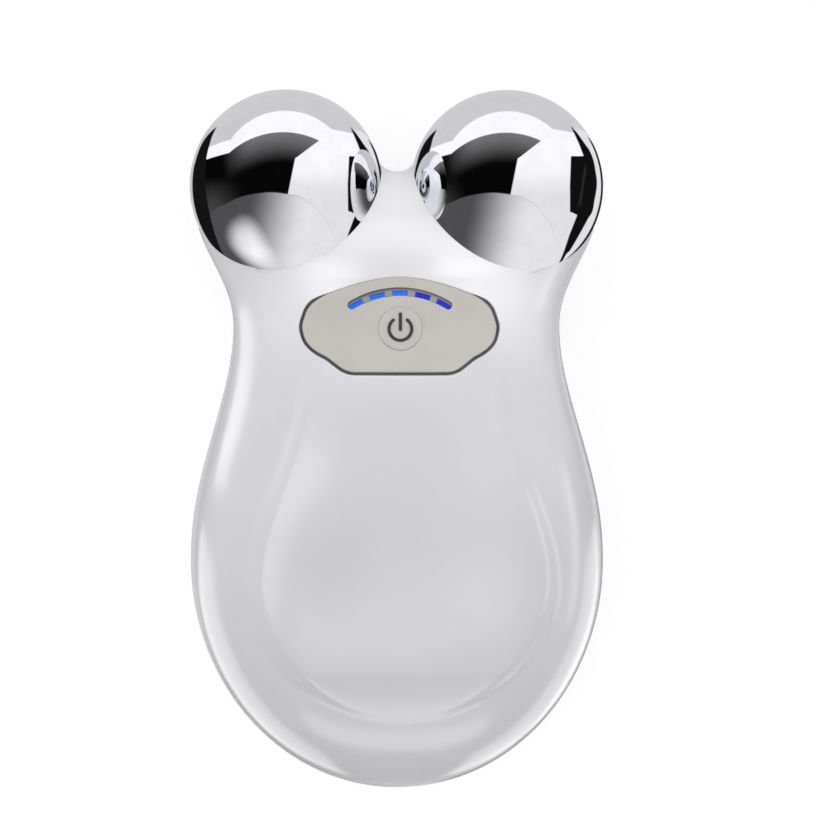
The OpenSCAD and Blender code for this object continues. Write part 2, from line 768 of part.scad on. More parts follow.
// Step-up coil: a ferrite drum with its winding
module pulse_coil() {
    flange = 1.2;
    color("#6b3f20") translate([9.5, wide_y + 3, board_top]) {
        cylinder(h = flange, d = coil_d);
        translate([0, 0, flange]) cylinder(h = coil_h - 2 * flange, d = coil_d - 1);
        translate([0, 0, coil_h - flange]) cylinder(h = flange, d = coil_d);
    }
}

module capacitors() {
    base = capacitor_d + 0.2;
    color("#33415c") for (i = [0, 1])
        translate([-10, wide_y - 1.8 + i * (base + 1), board_top]) {
            cylinder(h = capacitor_h, d = capacitor_d);
            translate([-base / 2, -base / 2, 0]) cube([base, base, 0.8]);
        }
}

module buzzer() {
    color("#202020") translate([-2, wide_y - 6, board_top]) difference() {
        cylinder(h = buzzer_h, d = buzzer_d);
        translate([0, 0, buzzer_h - 1]) cylinder(h = 2, d = 2);
    }
}

module battery() {
    color("#b9bdc4") translate([-battery_w / 2, battery_y - battery_len, battery_z]) {
        translate([0, 0.8, 0]) cube([battery_w, battery_len - 2.6, battery_t]);
        translate([1.5, 0, battery_t / 2 - 0.4]) cube([battery_w - 3, battery_len, 0.8]);
    }
}

module battery_foam() {
    foam_w = battery_w - 2 * foam_side;
    color("#55595f") translate([-foam_w / 2, battery_y - foam_end - foam_len, wall])
        cube([foam_w, foam_len, foam_t]);
}

plug_at = [-8, board_y[1] - 5];
plug_size = [4, 4, 3.4];

// Both battery leads turn up round the end of the main board to their plug
module battery_leads() {
    up_y = board_y[1] + 1.6;
    z = [battery_z + battery_t / 2, board_top + 1.8];
    color("firebrick") for (x = [plug_at[0] - 1, plug_at[0] + 1])
        lead([[x, battery_y, z[0]], [x, up_y, z[0]], [x, up_y, z[1]],
            [x, plug_at[1] + plug_size[1] / 2, z[1]]]);
}

module battery_plug() {
    color("ivory") translate([plug_at[0], plug_at[1], board_top])
        translate([-plug_size[0] / 2, -plug_size[1] / 2, 0]) cube(plug_size);
}

module charging_socket() {
    shell_t = 0.35;
    tongue_size = [4, 0.6, socket_len - 1];
    color("silver") at_port(port_y) {
        difference() {
            slot_bar(socket_w, socket_h, socket_len);
            translate([0, 0, -cut]) slot_bar(socket_w - 2 * shell_t, socket_h - 2 * shell_t, socket_len);
        }
        translate([-tongue_size[0] / 2, -tongue_size[1] / 2, 1]) cube(tongue_size);
    }
}

module housing_screws() {
    color("gainsboro") at_screws() translate([0, 0, screw_z])
        screw(screw_d, screw_len, screw_head_d, head_t, 0.7);
}

module screw_plugs() {
    color("whitesmoke") intersection() {
        half_body(-1);
        at_screws() cylinder(h = screw_z - head_t - plug_gap, d = screw_head_d);
    }
}

front_cover();
rear_cover();
panel_plate();
panel_seal();
power_button();
power_symbol();
level_light_guide();
left_sphere();
right_sphere();
left_stud();
right_stud();
sphere_seals();
stud_nuts();
ring_terminals();
left_lead();
right_lead();
control_board();
control_screws();
status_lights();
switch_body();
switch_plunger();
link_header();
link_pins();
main_board();
main_screws();
controller_chip();
charger_chip();
pulse_coil();
capacitors();
buzzer();
battery();
battery_foam();
battery_leads();
battery_plug();
charging_socket();
housing_screws();
screw_plugs();
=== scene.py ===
"""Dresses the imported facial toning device: smooth covers, panel, spheres, materials, light and camera."""
import json
import math

import bmesh
import bpy
import numpy as np
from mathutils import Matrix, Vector


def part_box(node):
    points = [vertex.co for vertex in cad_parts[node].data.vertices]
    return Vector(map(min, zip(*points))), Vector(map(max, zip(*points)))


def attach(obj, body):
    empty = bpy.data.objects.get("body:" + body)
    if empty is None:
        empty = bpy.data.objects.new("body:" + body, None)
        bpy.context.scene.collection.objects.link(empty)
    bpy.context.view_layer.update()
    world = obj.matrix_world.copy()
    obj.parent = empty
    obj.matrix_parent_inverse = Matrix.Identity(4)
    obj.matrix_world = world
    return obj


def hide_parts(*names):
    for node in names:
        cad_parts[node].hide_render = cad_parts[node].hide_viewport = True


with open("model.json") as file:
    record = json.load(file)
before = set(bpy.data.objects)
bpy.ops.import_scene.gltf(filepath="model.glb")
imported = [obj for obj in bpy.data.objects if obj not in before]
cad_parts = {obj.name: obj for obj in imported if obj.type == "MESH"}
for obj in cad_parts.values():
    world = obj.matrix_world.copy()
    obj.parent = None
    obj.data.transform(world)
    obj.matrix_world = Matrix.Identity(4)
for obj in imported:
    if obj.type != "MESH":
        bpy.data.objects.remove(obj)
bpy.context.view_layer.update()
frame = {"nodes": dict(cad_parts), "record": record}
NODES = frame["nodes"]
MM = 0.001
SAME_POINT, NO_LENGTH = 2e-7, 1e-7  # metres
COVER_SHARP, PANEL_SHARP, SMALL_SHARP, BALL_SHARP = 40, 32, 35, 30  # degrees from which an edge is hard
scene = bpy.context.scene

# -------- sizes in mm, as in the part's source
BODY_LEN, BODY_W, NECK_W, NECK_DROP, TAIL_LEN = 97, 57.2, 45.4, 19.7, 31.5
JOINT_H, FRONT_H, SHOULDER_H, SHOULDER_DEPTH, BACK_CUT = 22, 17, 9.6, 12.5, 1.4
PAD_H, PAD_W, WALL = 1.2, 41.4, 2.2
TOP_Z = 40.19
SPHERE_R, SPHERE_X, SPHERE_WALL, SOCKET_GAP, SOCKET_WALL = 13.4, 15.4, 0.7, 0.1, 1.6
STUD_TURN, STUD_R, BOSS_R, BOSS_H = 20, 1.5, 4, 5
PANEL_HALF_W, PANEL_T, WEB_T, SEAL_W, LEDGE_W = 13.4, 1.5, 2, 0.42, 0.8
BUTTON_R, BUTTON_PROUD, BUTTON_GAP, FLANGE_W, FLANGE_T = 3, 0.2, 0.015, 1, 0.7
LEVEL_R, LEVEL_W, LEVEL_COUNT, LEVEL_STEP, LEVEL_SPAN = 12.8, 1.1, 5, 14.4, 10
WELL_R, WELL_Z = 2.25, JOINT_H - 8
CHARGER_W, CHARGER_H, PORT_GAP, PORT_DEPTH, BOARD_Z, BOARD_T = 7.5, 2.7, 0.4, 4.4, JOINT_H - 8, 1.2
HORN_TURN, HORN_SWELL, NOTCH_R, NOTCH_DEPTH = 26, 1.5, 2.9, 1.1
# how the curves bend: 2 gives an ellipse, and more gives fuller corners
FRONT_N, BACK_N = (3, 1.8), 2.6
FRONT_TAIL_N, FRONT_POST_N, BACK_TAIL_N, PAD_N = 2.8, 1.6, 2.3, 1.85
WAIST_POWER, HORN_POWER = 1.12, 2.3

TAIL_Y = -BODY_LEN / 2
SPHERE_Y = BODY_LEN / 2 - SPHERE_R
NECK_Y = SPHERE_Y - NECK_DROP
WIDE_Y = TAIL_Y + TAIL_LEN
HALF_W, NECK_HALF = BODY_W / 2, NECK_W / 2
SOCKET_R = SPHERE_R + SOCKET_GAP
HORN_X = SPHERE_X + SPHERE_R * math.cos(math.radians(HORN_TURN)) + SOCKET_GAP
HORN_Y = SPHERE_Y - SPHERE_R * math.sin(math.radians(HORN_TURN))
POST_Y = SPHERE_Y + 3
CREST_Y, SHOULDER_Y = WIDE_Y + 3, NECK_Y + 6.6
DEEP_Y, RISE_Y = (WIDE_Y - 3, NECK_Y - 12), NECK_Y + 10.6
BACK_H, BACK_SOFT = JOINT_H + BACK_CUT, 0.35
PAD_WIDE_Y, PAD_LOW_Y, PAD_TOP_Y = WIDE_Y - 3, TAIL_Y + 9.7, NECK_Y - 7
PAD_FADE, PAD_NECK, PAD_SOFT = 8, 0.66, 1.6
PAD_CREASE_Y, PAD_FALL = TAIL_Y + 15.9, 0.95
LEVEL_Y, BUTTON_Y = NECK_Y - 8, NECK_Y - 0.35
MIDDLE_Y = -6  # where the back's rows of points meet


# -------- the body's surface
def share(v, a, b):
    """How far v is from a to b, from 0 to 1."""
    return np.clip((v - a) / (b - a), 0.0, 1.0)


def smooth(t):
    return t * t * (3 - 2 * t)


def rounded(t, n):
    """1 up to t = 0, and then down to 0 at t = 1 along a superellipse."""
    return np.maximum(0.0, 1 - np.maximum(0.0, t) ** n) ** (1 / n)


def half_width(y, g=0.0):
    """Half width of the body at y, or of its surface moved in by g."""
    y = np.asarray(y, float)
    tail = (HALF_W - g) * rounded((WIDE_Y - y) / (WIDE_Y - TAIL_Y - g), 2)
    waist = NECK_HALF - g + (HALF_W - NECK_HALF) * (1 - smooth(share(y, WIDE_Y, NECK_Y) ** WAIST_POWER))
    horn = NECK_HALF - g + (HORN_X - NECK_HALF) * share(y, NECK_Y, HORN_Y) ** HORN_POWER \
        * (1 + HORN_SWELL * share(y, HORN_Y, NECK_Y))
    end = (HORN_X - g) * rounded((y - HORN_Y) / (POST_Y - g - HORN_Y), 2)
    return np.select([y < WIDE_Y, y < NECK_Y, y < HORN_Y], [tail, waist, horn], end)


def front_rise(y, g=0.0):
    y = np.asarray(y, float)
    tail = (FRONT_H - g) * rounded((CREST_Y - y) / (CREST_Y - TAIL_Y - g), FRONT_TAIL_N)
    neck = SHOULDER_H - g + (FRONT_H - SHOULDER_H) * (1 - smooth(share(y, CREST_Y, SHOULDER_Y)))
    post = (SHOULDER_H - g) * rounded((y - SHOULDER_Y) / (POST_Y - g - SHOULDER_Y), FRONT_POST_N)
    return np.select([y < CREST_Y, y < SHOULDER_Y], [tail, neck], post)


def back_depth(y, g=0.0):
    y = np.asarray(y, float)
    tail = (BACK_H - g) * rounded((DEEP_Y[0] - y) / (DEEP_Y[0] - TAIL_Y - g), BACK_TAIL_N)
    mid = SHOULDER_DEPTH - g + (BACK_H - SHOULDER_DEPTH) * (1 - smooth(share(y, DEEP_Y[1], RISE_Y)))
    post = (SHOULDER_DEPTH - g) * rounded((y - RISE_Y) / (POST_Y - g - RISE_Y), 2)
    return np.select([y < DEEP_Y[0], y < RISE_Y], [tail, mid], post)


def pad_half(y):
    y = np.asarray(y, float)
    low = PAD_W / 2 * rounded((PAD_WIDE_Y - y) / (PAD_WIDE_Y - PAD_LOW_Y), PAD_N)
    high = PAD_W / 2 * (1 - (1 - PAD_NECK) * smooth(share(y, PAD_WIDE_Y, PAD_TOP_Y)))
    return np.where(y < PAD_WIDE_Y, low, high)


def pad_rise(x, y):
    across = smooth(share(pad_half(y) - np.abs(x), -PAD_SOFT, PAD_SOFT))
    along = smooth(share(y, PAD_TOP_Y + PAD_FADE / 2, PAD_TOP_Y - PAD_FADE / 2))
    return PAD_H * across * along * (1 - PAD_FALL * share(y, PAD_CREASE_Y, PAD_LOW_Y))


def bulge(x, y, n, g=0.0):
    """How far the section at y stands out at x, from 1 along the middle to 0 at the joint."""
    return rounded(np.abs(x) / np.maximum(half_width(y, g), 1e-6), n)


def front_n(y):
    return FRONT_N[0] + (FRONT_N[1] - FRONT_N[0]) * smooth(share(y, CREST_Y, SHOULDER_Y)) ** 2


def front_z(x, y):
    return np.minimum(JOINT_H + front_rise(y) * bulge(x, y, front_n(y)) + pad_rise(x, y), TOP_Z)


def front_inner(x, y):
    return JOINT_H + front_rise(y, WALL) * bulge(x, y, front_n(y), WALL)


def soft_max(a, b, k):
    """The larger of a and b, with a soft bend of width k where they meet."""
    h = np.clip(0.5 + 0.5 * (a - b) / k, 0, 1)
    return b + (a - b) * h + k * h * (1 - h)


def back_z(x, y):
    full = JOINT_H - back_depth(y) * bulge(x, y, BACK_N)
    return np.maximum(soft_max(full, 0.0, BACK_SOFT) - BACK_SOFT / 4, 0.0)


def back_inner(x, y):
    return np.maximum(JOINT_H - back_depth(y, WALL) * bulge(x, y, BACK_N, WALL), WALL)


# -------- mesh making
def columns(*values):
    """Points from their coordinates."""
    return np.stack(values, -1)


def fresh(name, data):
    """A new object in the scene."""
    obj = bpy.data.objects.new(name, data)
    scene.collection.objects.link(obj)
    return obj


def mesh_of(name, bm):
    mesh = bpy.data.meshes.new(name)
    bm.to_mesh(mesh)
    bm.free()
    return mesh


def new_object(name, verts, faces):
    """A mesh object from points in millimetres."""
    mesh = bpy.data.meshes.new(name)
    mesh.from_pydata((np.asarray(verts) * MM).tolist(), [], faces)
    mesh.update()
    mesh.validate()
    bm = bmesh.new()
    bm.from_mesh(mesh)
    bmesh.ops.remove_doubles(bm, verts=bm.verts, dist=SAME_POINT)
    bmesh.ops.dissolve_degenerate(bm, edges=bm.edges, dist=NO_LENGTH)
    bmesh.ops.recalc_face_normals(bm, faces=bm.faces)
    bm.to_mesh(mesh)
    bm.free()
    mesh.shade_smooth()
    return fresh(name, mesh)


def quads(rows, closed_ends, closed_loops):
    """Numbers of the points of rows of points, and the faces between them."""
    n_rows, n = rows.shape[:2]
    idx = np.arange(n_rows * n).reshape(n_rows, n)
    faces = []
    for k in range(n_rows if closed_ends else n_rows - 1):
        a, b = idx[k], idx[(k + 1) % n_rows]
        ring = np.stack([a, np.roll(a, -1), np.roll(b, -1), b], 1)
        faces += (ring if closed_loops else ring[:-1]).tolist()
    return idx, faces


def sweep(name, rows, closed_ends=True, fans=()):
    """Joins loops of equal length, rows[k][i], into a surface. closed_ends joins the last loop to the first.
    fans gives for "start" or "end" a point that closes that end."""
    rows = np.asarray(rows)
    idx, faces = quads(rows, closed_ends, True)
    verts = rows.reshape(-1, 3)
    for end, point in dict(fans).items():
        ring = (idx[0] if end == "start" else idx[-1]).tolist()
        faces += [[p, q, len(verts)] for p, q in zip(ring, ring[1:] + ring[:1])]
        verts = np.vstack([verts, point])
    return new_object(name, verts, faces)


def sharpen(obj, angle):
    obj.data.set_sharp_from_angle(angle=math.radians(angle))
    return obj


def run_of(points):
    """Length of a line of points up to each of them."""
    return np.concatenate([[0], np.cumsum(np.linalg.norm(np.diff(points, axis=0), axis=1))])


def resample(points, count):
    """count points spaced evenly along a line of points."""
    run = run_of(points)
    at = np.linspace(0, run[-1], count)
    return np.stack([np.interp(at, run, points[:, i]) for i in range(points.shape[1])], 1)


def bent(a, corner, b, t):
    """Points at t, from 0 to 1, of a rounded edge from a to b."""
    return (1 - t) ** 2 * a + 2 * t * (1 - t) * corner + t * t * b


def crowded(t, power=1):
    """t from 0 to 1, closer together towards 1."""
    return np.sin(t * math.pi / 2) ** power


def between(a, b, s):
    """Loops from a to b, one for each share s."""
    return a[None] * (1 - s[:, None, None]) + b[None] * s[:, None, None]


def lifted(plan, z):
    """Points in space from points in plan and their heights."""
    return np.concatenate([plan, np.asarray(z)[..., None]], -1)


def level_of(plan, z):
    return lifted(plan, np.full(plan.shape[:-1], float(z)))


# -------- outline of the control panel
# share of the half width, and height above the neck, down the right side
PANEL_HALF = [(0, 6.8), (0.235, 6.5), (0.4, 6.03), (0.57, 5.36), (0.74, 4.5), (0.86, 3.6), (0.935, 2.6),
              (0.975, 1.4), (1, 0.1), (0.99, -1), (0.966, -1.94), (0.913, -2.85), (0.84, -3.6), (0.75, -4.27),
              (0.663, -5.18), (0.59, -5.88), (0.51, -6.25), (0.4, -6.31), (0, -6.33)]
SEAL_FADE = (5.0, 3.0)  # the seal ends between these heights


def panel_line(steps=18):
    """Closed outline of the panel, clockwise from its top middle, with its outward normals."""
    knots = PANEL_HALF + [(-x, y) for x, y in PANEL_HALF[-2:0:-1]]
    n = len(knots)
    k = np.array(knots, float)
    out = []
    for i in range(n):
        p0, p1, p2, p3 = k[(i - 1) % n], k[i], k[(i + 1) % n], k[(i + 2) % n]
        for j in range(steps):
            t = j / steps
            out.append(0.5 * (2 * p1 + (p2 - p0) * t + (2 * p0 - 5 * p1 + 4 * p2 - p3) * t * t
                              + (3 * p1 - p0 - 3 * p2 + p3) * t ** 3))
    line = np.array(out) * [PANEL_HALF_W, 1.0] + [0, NECK_Y]
    along = np.roll(line, -1, 0) - np.roll(line, 1, 0)
    along /= np.linalg.norm(along, axis=1)[:, None]
    return line, columns(-along[:, 1], along[:, 0])


PANEL_LINE, PANEL_OUT = panel_line()


def panel_loop(fractions, offset=0.0, fade=False):
    """Points of the outline at fractions of its length, counted from the bottom middle anticlockwise. They
    are moved out by offset, which fades away at the top if fade is on."""
    kept = smooth(share(PANEL_LINE[:, 1] - NECK_Y, *SEAL_FADE)) if fade else np.ones(len(PANEL_LINE))
    pts = PANEL_LINE + PANEL_OUT * (offset * kept)[:, None]
    n = len(PANEL_LINE)
    order = (n // 2 - np.arange(n + 1)) % n
    pts, run = pts[order], run_of(PANEL_LINE[order])
    run /= run[-1]
    f = np.mod(fractions, 1.0)
    return columns(np.interp(f, run, pts[:, 0]), np.interp(f, run, pts[:, 1]))


# -------- outline of the covers
HALVINGS = 60


def edge_radius(surface, r, phi):
    """Distance from a sphere's axis at which the surface leaves the socket, in the direction phi."""
    lo, hi = np.zeros_like(phi), np.full_like(phi, r)
    for _ in range(HALVINGS):
        mid = (lo + hi) / 2
        x, y = SPHERE_X + mid * np.cos(phi), SPHERE_Y + mid * np.sin(phi)
        out = np.abs(surface(x, y) - JOINT_H) > np.sqrt(np.maximum(r * r - mid * mid, 0))
        hi, lo = np.where(out, mid, hi), np.where(out, lo, mid)
    return (lo + hi) / 2


N_TAIL, N_SIDE, N_SADDLE, N_POST = 84, 76, 120, 18
TO_SADDLE = N_TAIL + N_SIDE
TO_POST = TO_SADDLE + N_SADDLE
# gap from the side's end to the horn's tip, the same as an angle for the saddle, and how its points crowd
TIP_GAP, TIP_TURN, TIP_CROWD = 0.02, 0.004, 0.35


def right_half(surface, g, r, phi_end):
    """Right half of a cover's outline, from the tail to the end of the saddle: points, and for the saddle the
    directions and distances from the sphere's centre."""
    tip_y, far_y = NECK_Y, HORN_Y
    for _ in range(HALVINGS):
        mid = (tip_y + far_y) / 2
        clear = math.hypot(float(half_width(mid, g)) - SPHERE_X, mid - SPHERE_Y) > r
        tip_y, far_y = (mid, far_y) if clear else (tip_y, mid)
    turn = np.linspace(0, math.pi / 2, N_TAIL, endpoint=False)
    tail = columns((HALF_W - g) * np.sin(turn), WIDE_Y - (TAIL_LEN - g) * np.cos(turn))
    y = WIDE_Y + (tip_y - TIP_GAP - WIDE_Y) * np.linspace(0, 1, N_SIDE)
    side = columns(half_width(y, g), y)
    tip_x = float(half_width(tip_y, g))
    start = math.atan2(tip_y - SPHERE_Y, tip_x - SPHERE_X) - TIP_TURN
    along = np.linspace(0, 1, N_SADDLE)
    phi = start + (phi_end - start) * (1 - np.cos(along * math.pi)) / 2 * TIP_CROWD \
        + (phi_end - start) * along * (1 - TIP_CROWD)
    rho = edge_radius(surface, r, phi)
    saddle = columns(SPHERE_X + rho * np.cos(phi), SPHERE_Y + rho * np.sin(phi))
    return tail, side, saddle, phi, rho


def mirrored(half):
    """A closed loop from its right half, whose first and last points are on the middle line."""
    return np.vstack([half, half[-2:0:-1] * [-1.0, 1.0]])


# points of a cover's outline, and the places on the panel's outline that they go with
KEYS_OUT = [0, N_TAIL // 2, N_TAIL + 4, TO_SADDLE - 1, TO_SADDLE + N_SADDLE // 3,
            TO_SADDLE + N_SADDLE * 2 // 3, TO_POST - 1, TO_POST + N_POST - 1]
PANEL_AT = [0.0, 0.055, 0.125, 0.295, 0.355, 0.43, 0.482, 0.5]


def loop_fractions():
    """Fraction of the panel's outline that goes with each point of a cover's outline."""
    n = KEYS_OUT[-1] + 1
    half = np.interp(np.arange(n), KEYS_OUT, PANEL_AT)
    return np.concatenate([half, 1 - half[-2:0:-1]])


LIP_ROWS, WALL_ROWS, FACE_ROWS, RISE_ROWS, LAST_ROWS = 6, 18, 5, 10, 14
SADDLE_LIP, POST_LIP, JOINT_LIP = 0.16, 0.45, 0.13  # how wide the rounded edges are
LIP_SHARE, LEAST_LIP = 0.4, 0.02  # largest share of a wall, and least width
JOINT_LAND, POST_STEP, LEAST_RISE = 0.35, 0.4, 0.2  # flat on the joint, behind the post, inside the joint
CROWDING = 1.1  # how much closer together the rows are towards the rim


def cover_rows(side, surface, inner, middle, middle_inner, n_out, n_in):
    """Rows of points of one cover, from its middle over its outside, its rim and back along its inside.
    side is 1 for the front and -1 for the back."""
    wall_r = SOCKET_R + SOCKET_WALL
    arm_x = SPHERE_X - math.sqrt(SOCKET_R ** 2 - (POST_Y - SPHERE_Y) ** 2)
    phi_out, phi_in = -math.pi - math.asin((POST_Y - SPHERE_Y) / SOCKET_R), -math.pi
    tail, flank, saddle, _, _ = right_half(surface, 0.0, SOCKET_R, phi_out)
    tail_i, flank_i, saddle_i, phi_i, rho_i = right_half(inner, WALL, wall_r, phi_in)
    # the end of the post is a round notch between two short arms
    wide = math.asin(math.sqrt(NOTCH_R ** 2 - (NOTCH_R - NOTCH_DEPTH) ** 2) / NOTCH_R)
    turn = np.linspace(wide, 0, N_POST)
    post = columns(np.minimum(NOTCH_R * np.sin(turn), arm_x),
                     POST_Y - NOTCH_DEPTH + NOTCH_R * (1 - np.cos(turn)))
    x_i = np.linspace(saddle_i[-1, 0], 0, N_POST + 1)[1:]
    post_i = columns(x_i, np.full(N_POST, saddle_i[-1, 1] - POST_STEP))
    rim = mirrored(np.vstack([tail, flank, saddle, post]))
    rim_i = mirrored(np.vstack([tail_i, flank_i, saddle_i, post_i]))
    n = len(rim)
    on_saddle, on_post = np.zeros(n, bool), np.zeros(n, bool)
    on_saddle[TO_SADDLE:TO_POST] = True
    on_saddle[n - TO_POST + 1:n - TO_SADDLE + 1] = True
    on_post[TO_POST:n - TO_POST + 1] = True

    def socket_at(i):
        """Side, number on the saddle and sphere's centre that go with the outline's point i."""
        sign, k = (1, i - TO_SADDLE) if i < n // 2 else (-1, n - i - TO_SADDLE)
        return sign, k, np.array([SPHERE_X * sign, SPHERE_Y, JOINT_H])

    def on_ball(centre, r, way, turn):
        """Points of a ball at angles from the joint's plane, in a direction in plan."""
        flat = r * np.cos(turn)
        return centre + columns(flat * way[0], flat * way[1], side * r * np.sin(turn))

    # outside: straight ways in plan from the middle to the rim
    plan = between(middle, rim, crowded(np.linspace(0, 1, n_out), CROWDING))
    top = lifted(plan, surface(plan[..., 0], plan[..., 1]))
    top[-1, ~on_saddle & ~on_post, 2] = JOINT_H
    outer = np.zeros((n_out + LIP_ROWS, n, 3))
    wall = np.zeros((WALL_ROWS + FACE_ROWS, n, 3))
    lip_t = np.linspace(0, 1, LIP_ROWS + 1)[1:, None]
    face_t = np.linspace(0, 1, FACE_ROWS + 1)[1:, None]
    for i in range(n):
        way = top[:, i]
        edge = way[-1].copy()
        foot = lifted(rim_i[i], JOINT_H)
        if on_saddle[i]:
            sign, k, centre = socket_at(i)
            flat = edge[:2] - centre[:2]
            d = np.hypot(*flat)
            edge[2] = JOINT_H + side * math.sqrt(max(SOCKET_R ** 2 - d * d, 0))
            way[-1] = edge
            rise = math.asin(min(abs(edge[2] - JOINT_H) / SOCKET_R, 1))
            lip = min(SADDLE_LIP, LIP_SHARE * SOCKET_R * rise + LEAST_LIP)
            down = on_ball(centre, SOCKET_R, flat / d, np.linspace(rise - lip / SOCKET_R, 0, WALL_ROWS))
            foot = np.array([sign * (SPHERE_X + wall_r * math.cos(phi_i[k])),
                             SPHERE_Y + wall_r * math.sin(phi_i[k]), JOINT_H])
        elif on_post[i]:
            high = edge[2] - JOINT_H
            lip = min(POST_LIP, LIP_SHARE * abs(high) + LEAST_LIP)
            drop = np.linspace(math.copysign(min(lip, abs(high)), high), high, WALL_ROWS)
            down = edge - np.array([0, 0, 1.0]) * drop[:, None]
        else:
            lip = JOINT_LIP
            inward = foot - edge
            inward /= np.linalg.norm(inward)
            down = edge + inward * (lip + np.linspace(0, JOINT_LAND, WALL_ROWS))[:, None]
        dist = np.linalg.norm(way - edge, axis=1)
        keep = dist > lip
        keep[:n_out // 2] = True
        stop = np.nonzero(keep)[0][-1]
        step = way[min(stop + 1, len(way) - 1)] - way[stop]
        leave = way[stop] + step * max(0.0, (dist[stop] - lip)) / max(np.linalg.norm(step), 1e-9)
        head = np.vstack([way[:stop + 1], leave])
        # the same number of points on every way: the last stretch is spread out again
        body = head[:min(n_out - LAST_ROWS, len(head) - 2)]
        rest = resample(head[len(body) - 1:], n_out - len(body) + 1)[1:]
        outer[:n_out, i] = np.vstack([body, rest])
        outer[n_out:, i] = bent(outer[n_out - 1, i], edge, down[0], lip_t)
        wall[:WALL_ROWS, i] = down
        wall[WALL_ROWS:, i] = down[-1] + (foot - down[-1]) * face_t
    # inside: up the socket's outer wall, then back to the middle
    up = np.zeros((RISE_ROWS, n, 3))
    for i in range(n):
        if on_saddle[i]:
            sign, k, centre = socket_at(i)
            turn = np.linspace(0, math.acos(min(rho_i[k] / wall_r, 1)), RISE_ROWS + 1)[1:]
            up[:, i] = on_ball(centre, wall_r, (math.cos(phi_i[k]) * sign, math.sin(phi_i[k])), turn)
        else:
            rise = np.linspace(LEAST_LIP, LEAST_RISE, RISE_ROWS)
            up[:, i] = lifted(rim_i[i], JOINT_H) + np.array([0, 0, side]) * rise[:, None]
    plan = between(middle_inner, up[-1, :, :2], crowded(np.linspace(1, 0, n_in), CROWDING))
    z = inner(plan[..., 0], plan[..., 1])
    z = np.maximum(z, JOINT_H + LEAST_RISE) if side > 0 else np.minimum(z, JOINT_H - LEAST_RISE)
    return outer, wall, up, lifted(plan, z)[1:]


LOOP_AT = loop_fractions()

# -------- the covers
SEAT_INSET, FRAME_W, SEAT_SLACK, BRIM, SKIRT_DROP, SKIRT_GAP = 0.2, 2.4, 0.02, 0.12, 1.5, 0.05
SEAT_Z = float(front_z(PANEL_HALF_W - SEAT_INSET, NECK_Y)) - PANEL_T
FACE_Z = float(front_z(0.0, BUTTON_Y))
WEB_Z = FACE_Z - WEB_T
FRONT_ROWS, BACK_ROWS = (120, 22), (130, 24)  # outside, inside
DIMPLE_R = 0.6  # smallest loop in the middle of the back


def make_front_cover():
    recess = panel_loop(LOOP_AT, SEAL_W + SEAT_SLACK, True)
    frame_loop = panel_loop(LOOP_AT, FRAME_W)
    outer, wall, up, back = cover_rows(1, front_z, front_inner, recess, frame_loop, *FRONT_ROWS)
    # the recess of the panel: a small bevelled brim, its wall, its ledge and the opening
    drop = outer[0] - np.array([0, 0, BRIM])
    toward = outer[1] - outer[0]
    toward /= np.linalg.norm(toward, axis=1)[:, None]
    outer[0] += toward * BRIM
    edge = [outer[0] + (drop - outer[0]) * t * t for t in (0.75, 0.5, 0.25)]
    seat = level_of(recess, SEAT_Z)
    ledge = level_of(panel_loop(LOOP_AT, -LEDGE_W), SEAT_Z)
    low_z = np.minimum(SEAT_Z - SKIRT_DROP, back[-1][:, 2] - SKIRT_GAP)
    low, skirt = lifted(ledge[:, :2], low_z), lifted(back[-1][:, :2], low_z)
    walls = [seat + (drop - seat) * t for t in (0.0, 0.5)] + [drop]
    return sweep("cover_front", [*outer, *wall, *up, *back, skirt, low, ledge, *walls, *edge])


def make_rear_cover():
    turn = np.linspace(0, 2 * math.pi, len(LOOP_AT), endpoint=False)
    small = columns(DIMPLE_R * np.sin(turn), MIDDLE_Y - DIMPLE_R * np.cos(turn))
    outer, wall, up, back = cover_rows(-1, back_z, back_inner, small, small, *BACK_ROWS)
    return sweep("cover_rear", [*outer, *wall, *up, *back], closed_ends=False,
                 fans={"start": [0, MIDDLE_Y, 0], "end": [0, MIDDLE_Y, WALL]})


def cylinder_cut(name, x, y, z0, z1, r):
    bm = bmesh.new()
    bmesh.ops.create_cone(bm, cap_ends=True, segments=96, radius1=r * MM, radius2=r * MM,
                          depth=(z1 - z0) * MM)
    obj = fresh(name, mesh_of(name, bm))
    obj.location = (x * MM, y * MM, (z0 + z1) / 2 * MM)
    return obj


def subtract(obj, cutters):
    """Cuts the cutters out of obj, applies the result and removes them."""
    for cutter in cutters:
        mod = obj.modifiers.new("cut", "BOOLEAN")
        mod.operation, mod.object, mod.solver = "DIFFERENCE", cutter, "EXACT"
    bpy.context.view_layer.update()
    result = bpy.data.meshes.new_from_object(obj.evaluated_get(bpy.context.evaluated_depsgraph_get()))
    obj.modifiers.clear()
    obj.data = result
    for cutter in cutters:
        bpy.data.objects.remove(cutter)
    return obj


def capped(name, low, high):
    """A closed straight solid between two flat loops."""
    return sweep(name, [low, high], closed_ends=False, fans={"start": low.mean(0), "end": high.mean(0)})


front_cover = make_front_cover()
rear_cover = make_rear_cover()

# -------- screw wells and charging port
SCREW_Y = (NECK_Y - 1.4, WIDE_Y - 19)
SCREW_X = (NECK_HALF - 4.2, float(half_width(SCREW_Y[1])) - 5.8)
PORT_W, PORT_H = CHARGER_W + 2 * PORT_GAP, CHARGER_H + 2 * PORT_GAP
PORT_Z = BOARD_Z + BOARD_T + CHARGER_H / 2
CUT = 1  # how far a cut goes past a surface


def bar_loop(w, h, count=24):
    """Outline of a bar with round ends."""
    t = np.linspace(-math.pi / 2, math.pi / 2, count)
    right = columns((w - h) / 2 + h / 2 * np.cos(t), h / 2 * np.sin(t))
    return np.vstack([right, -right])


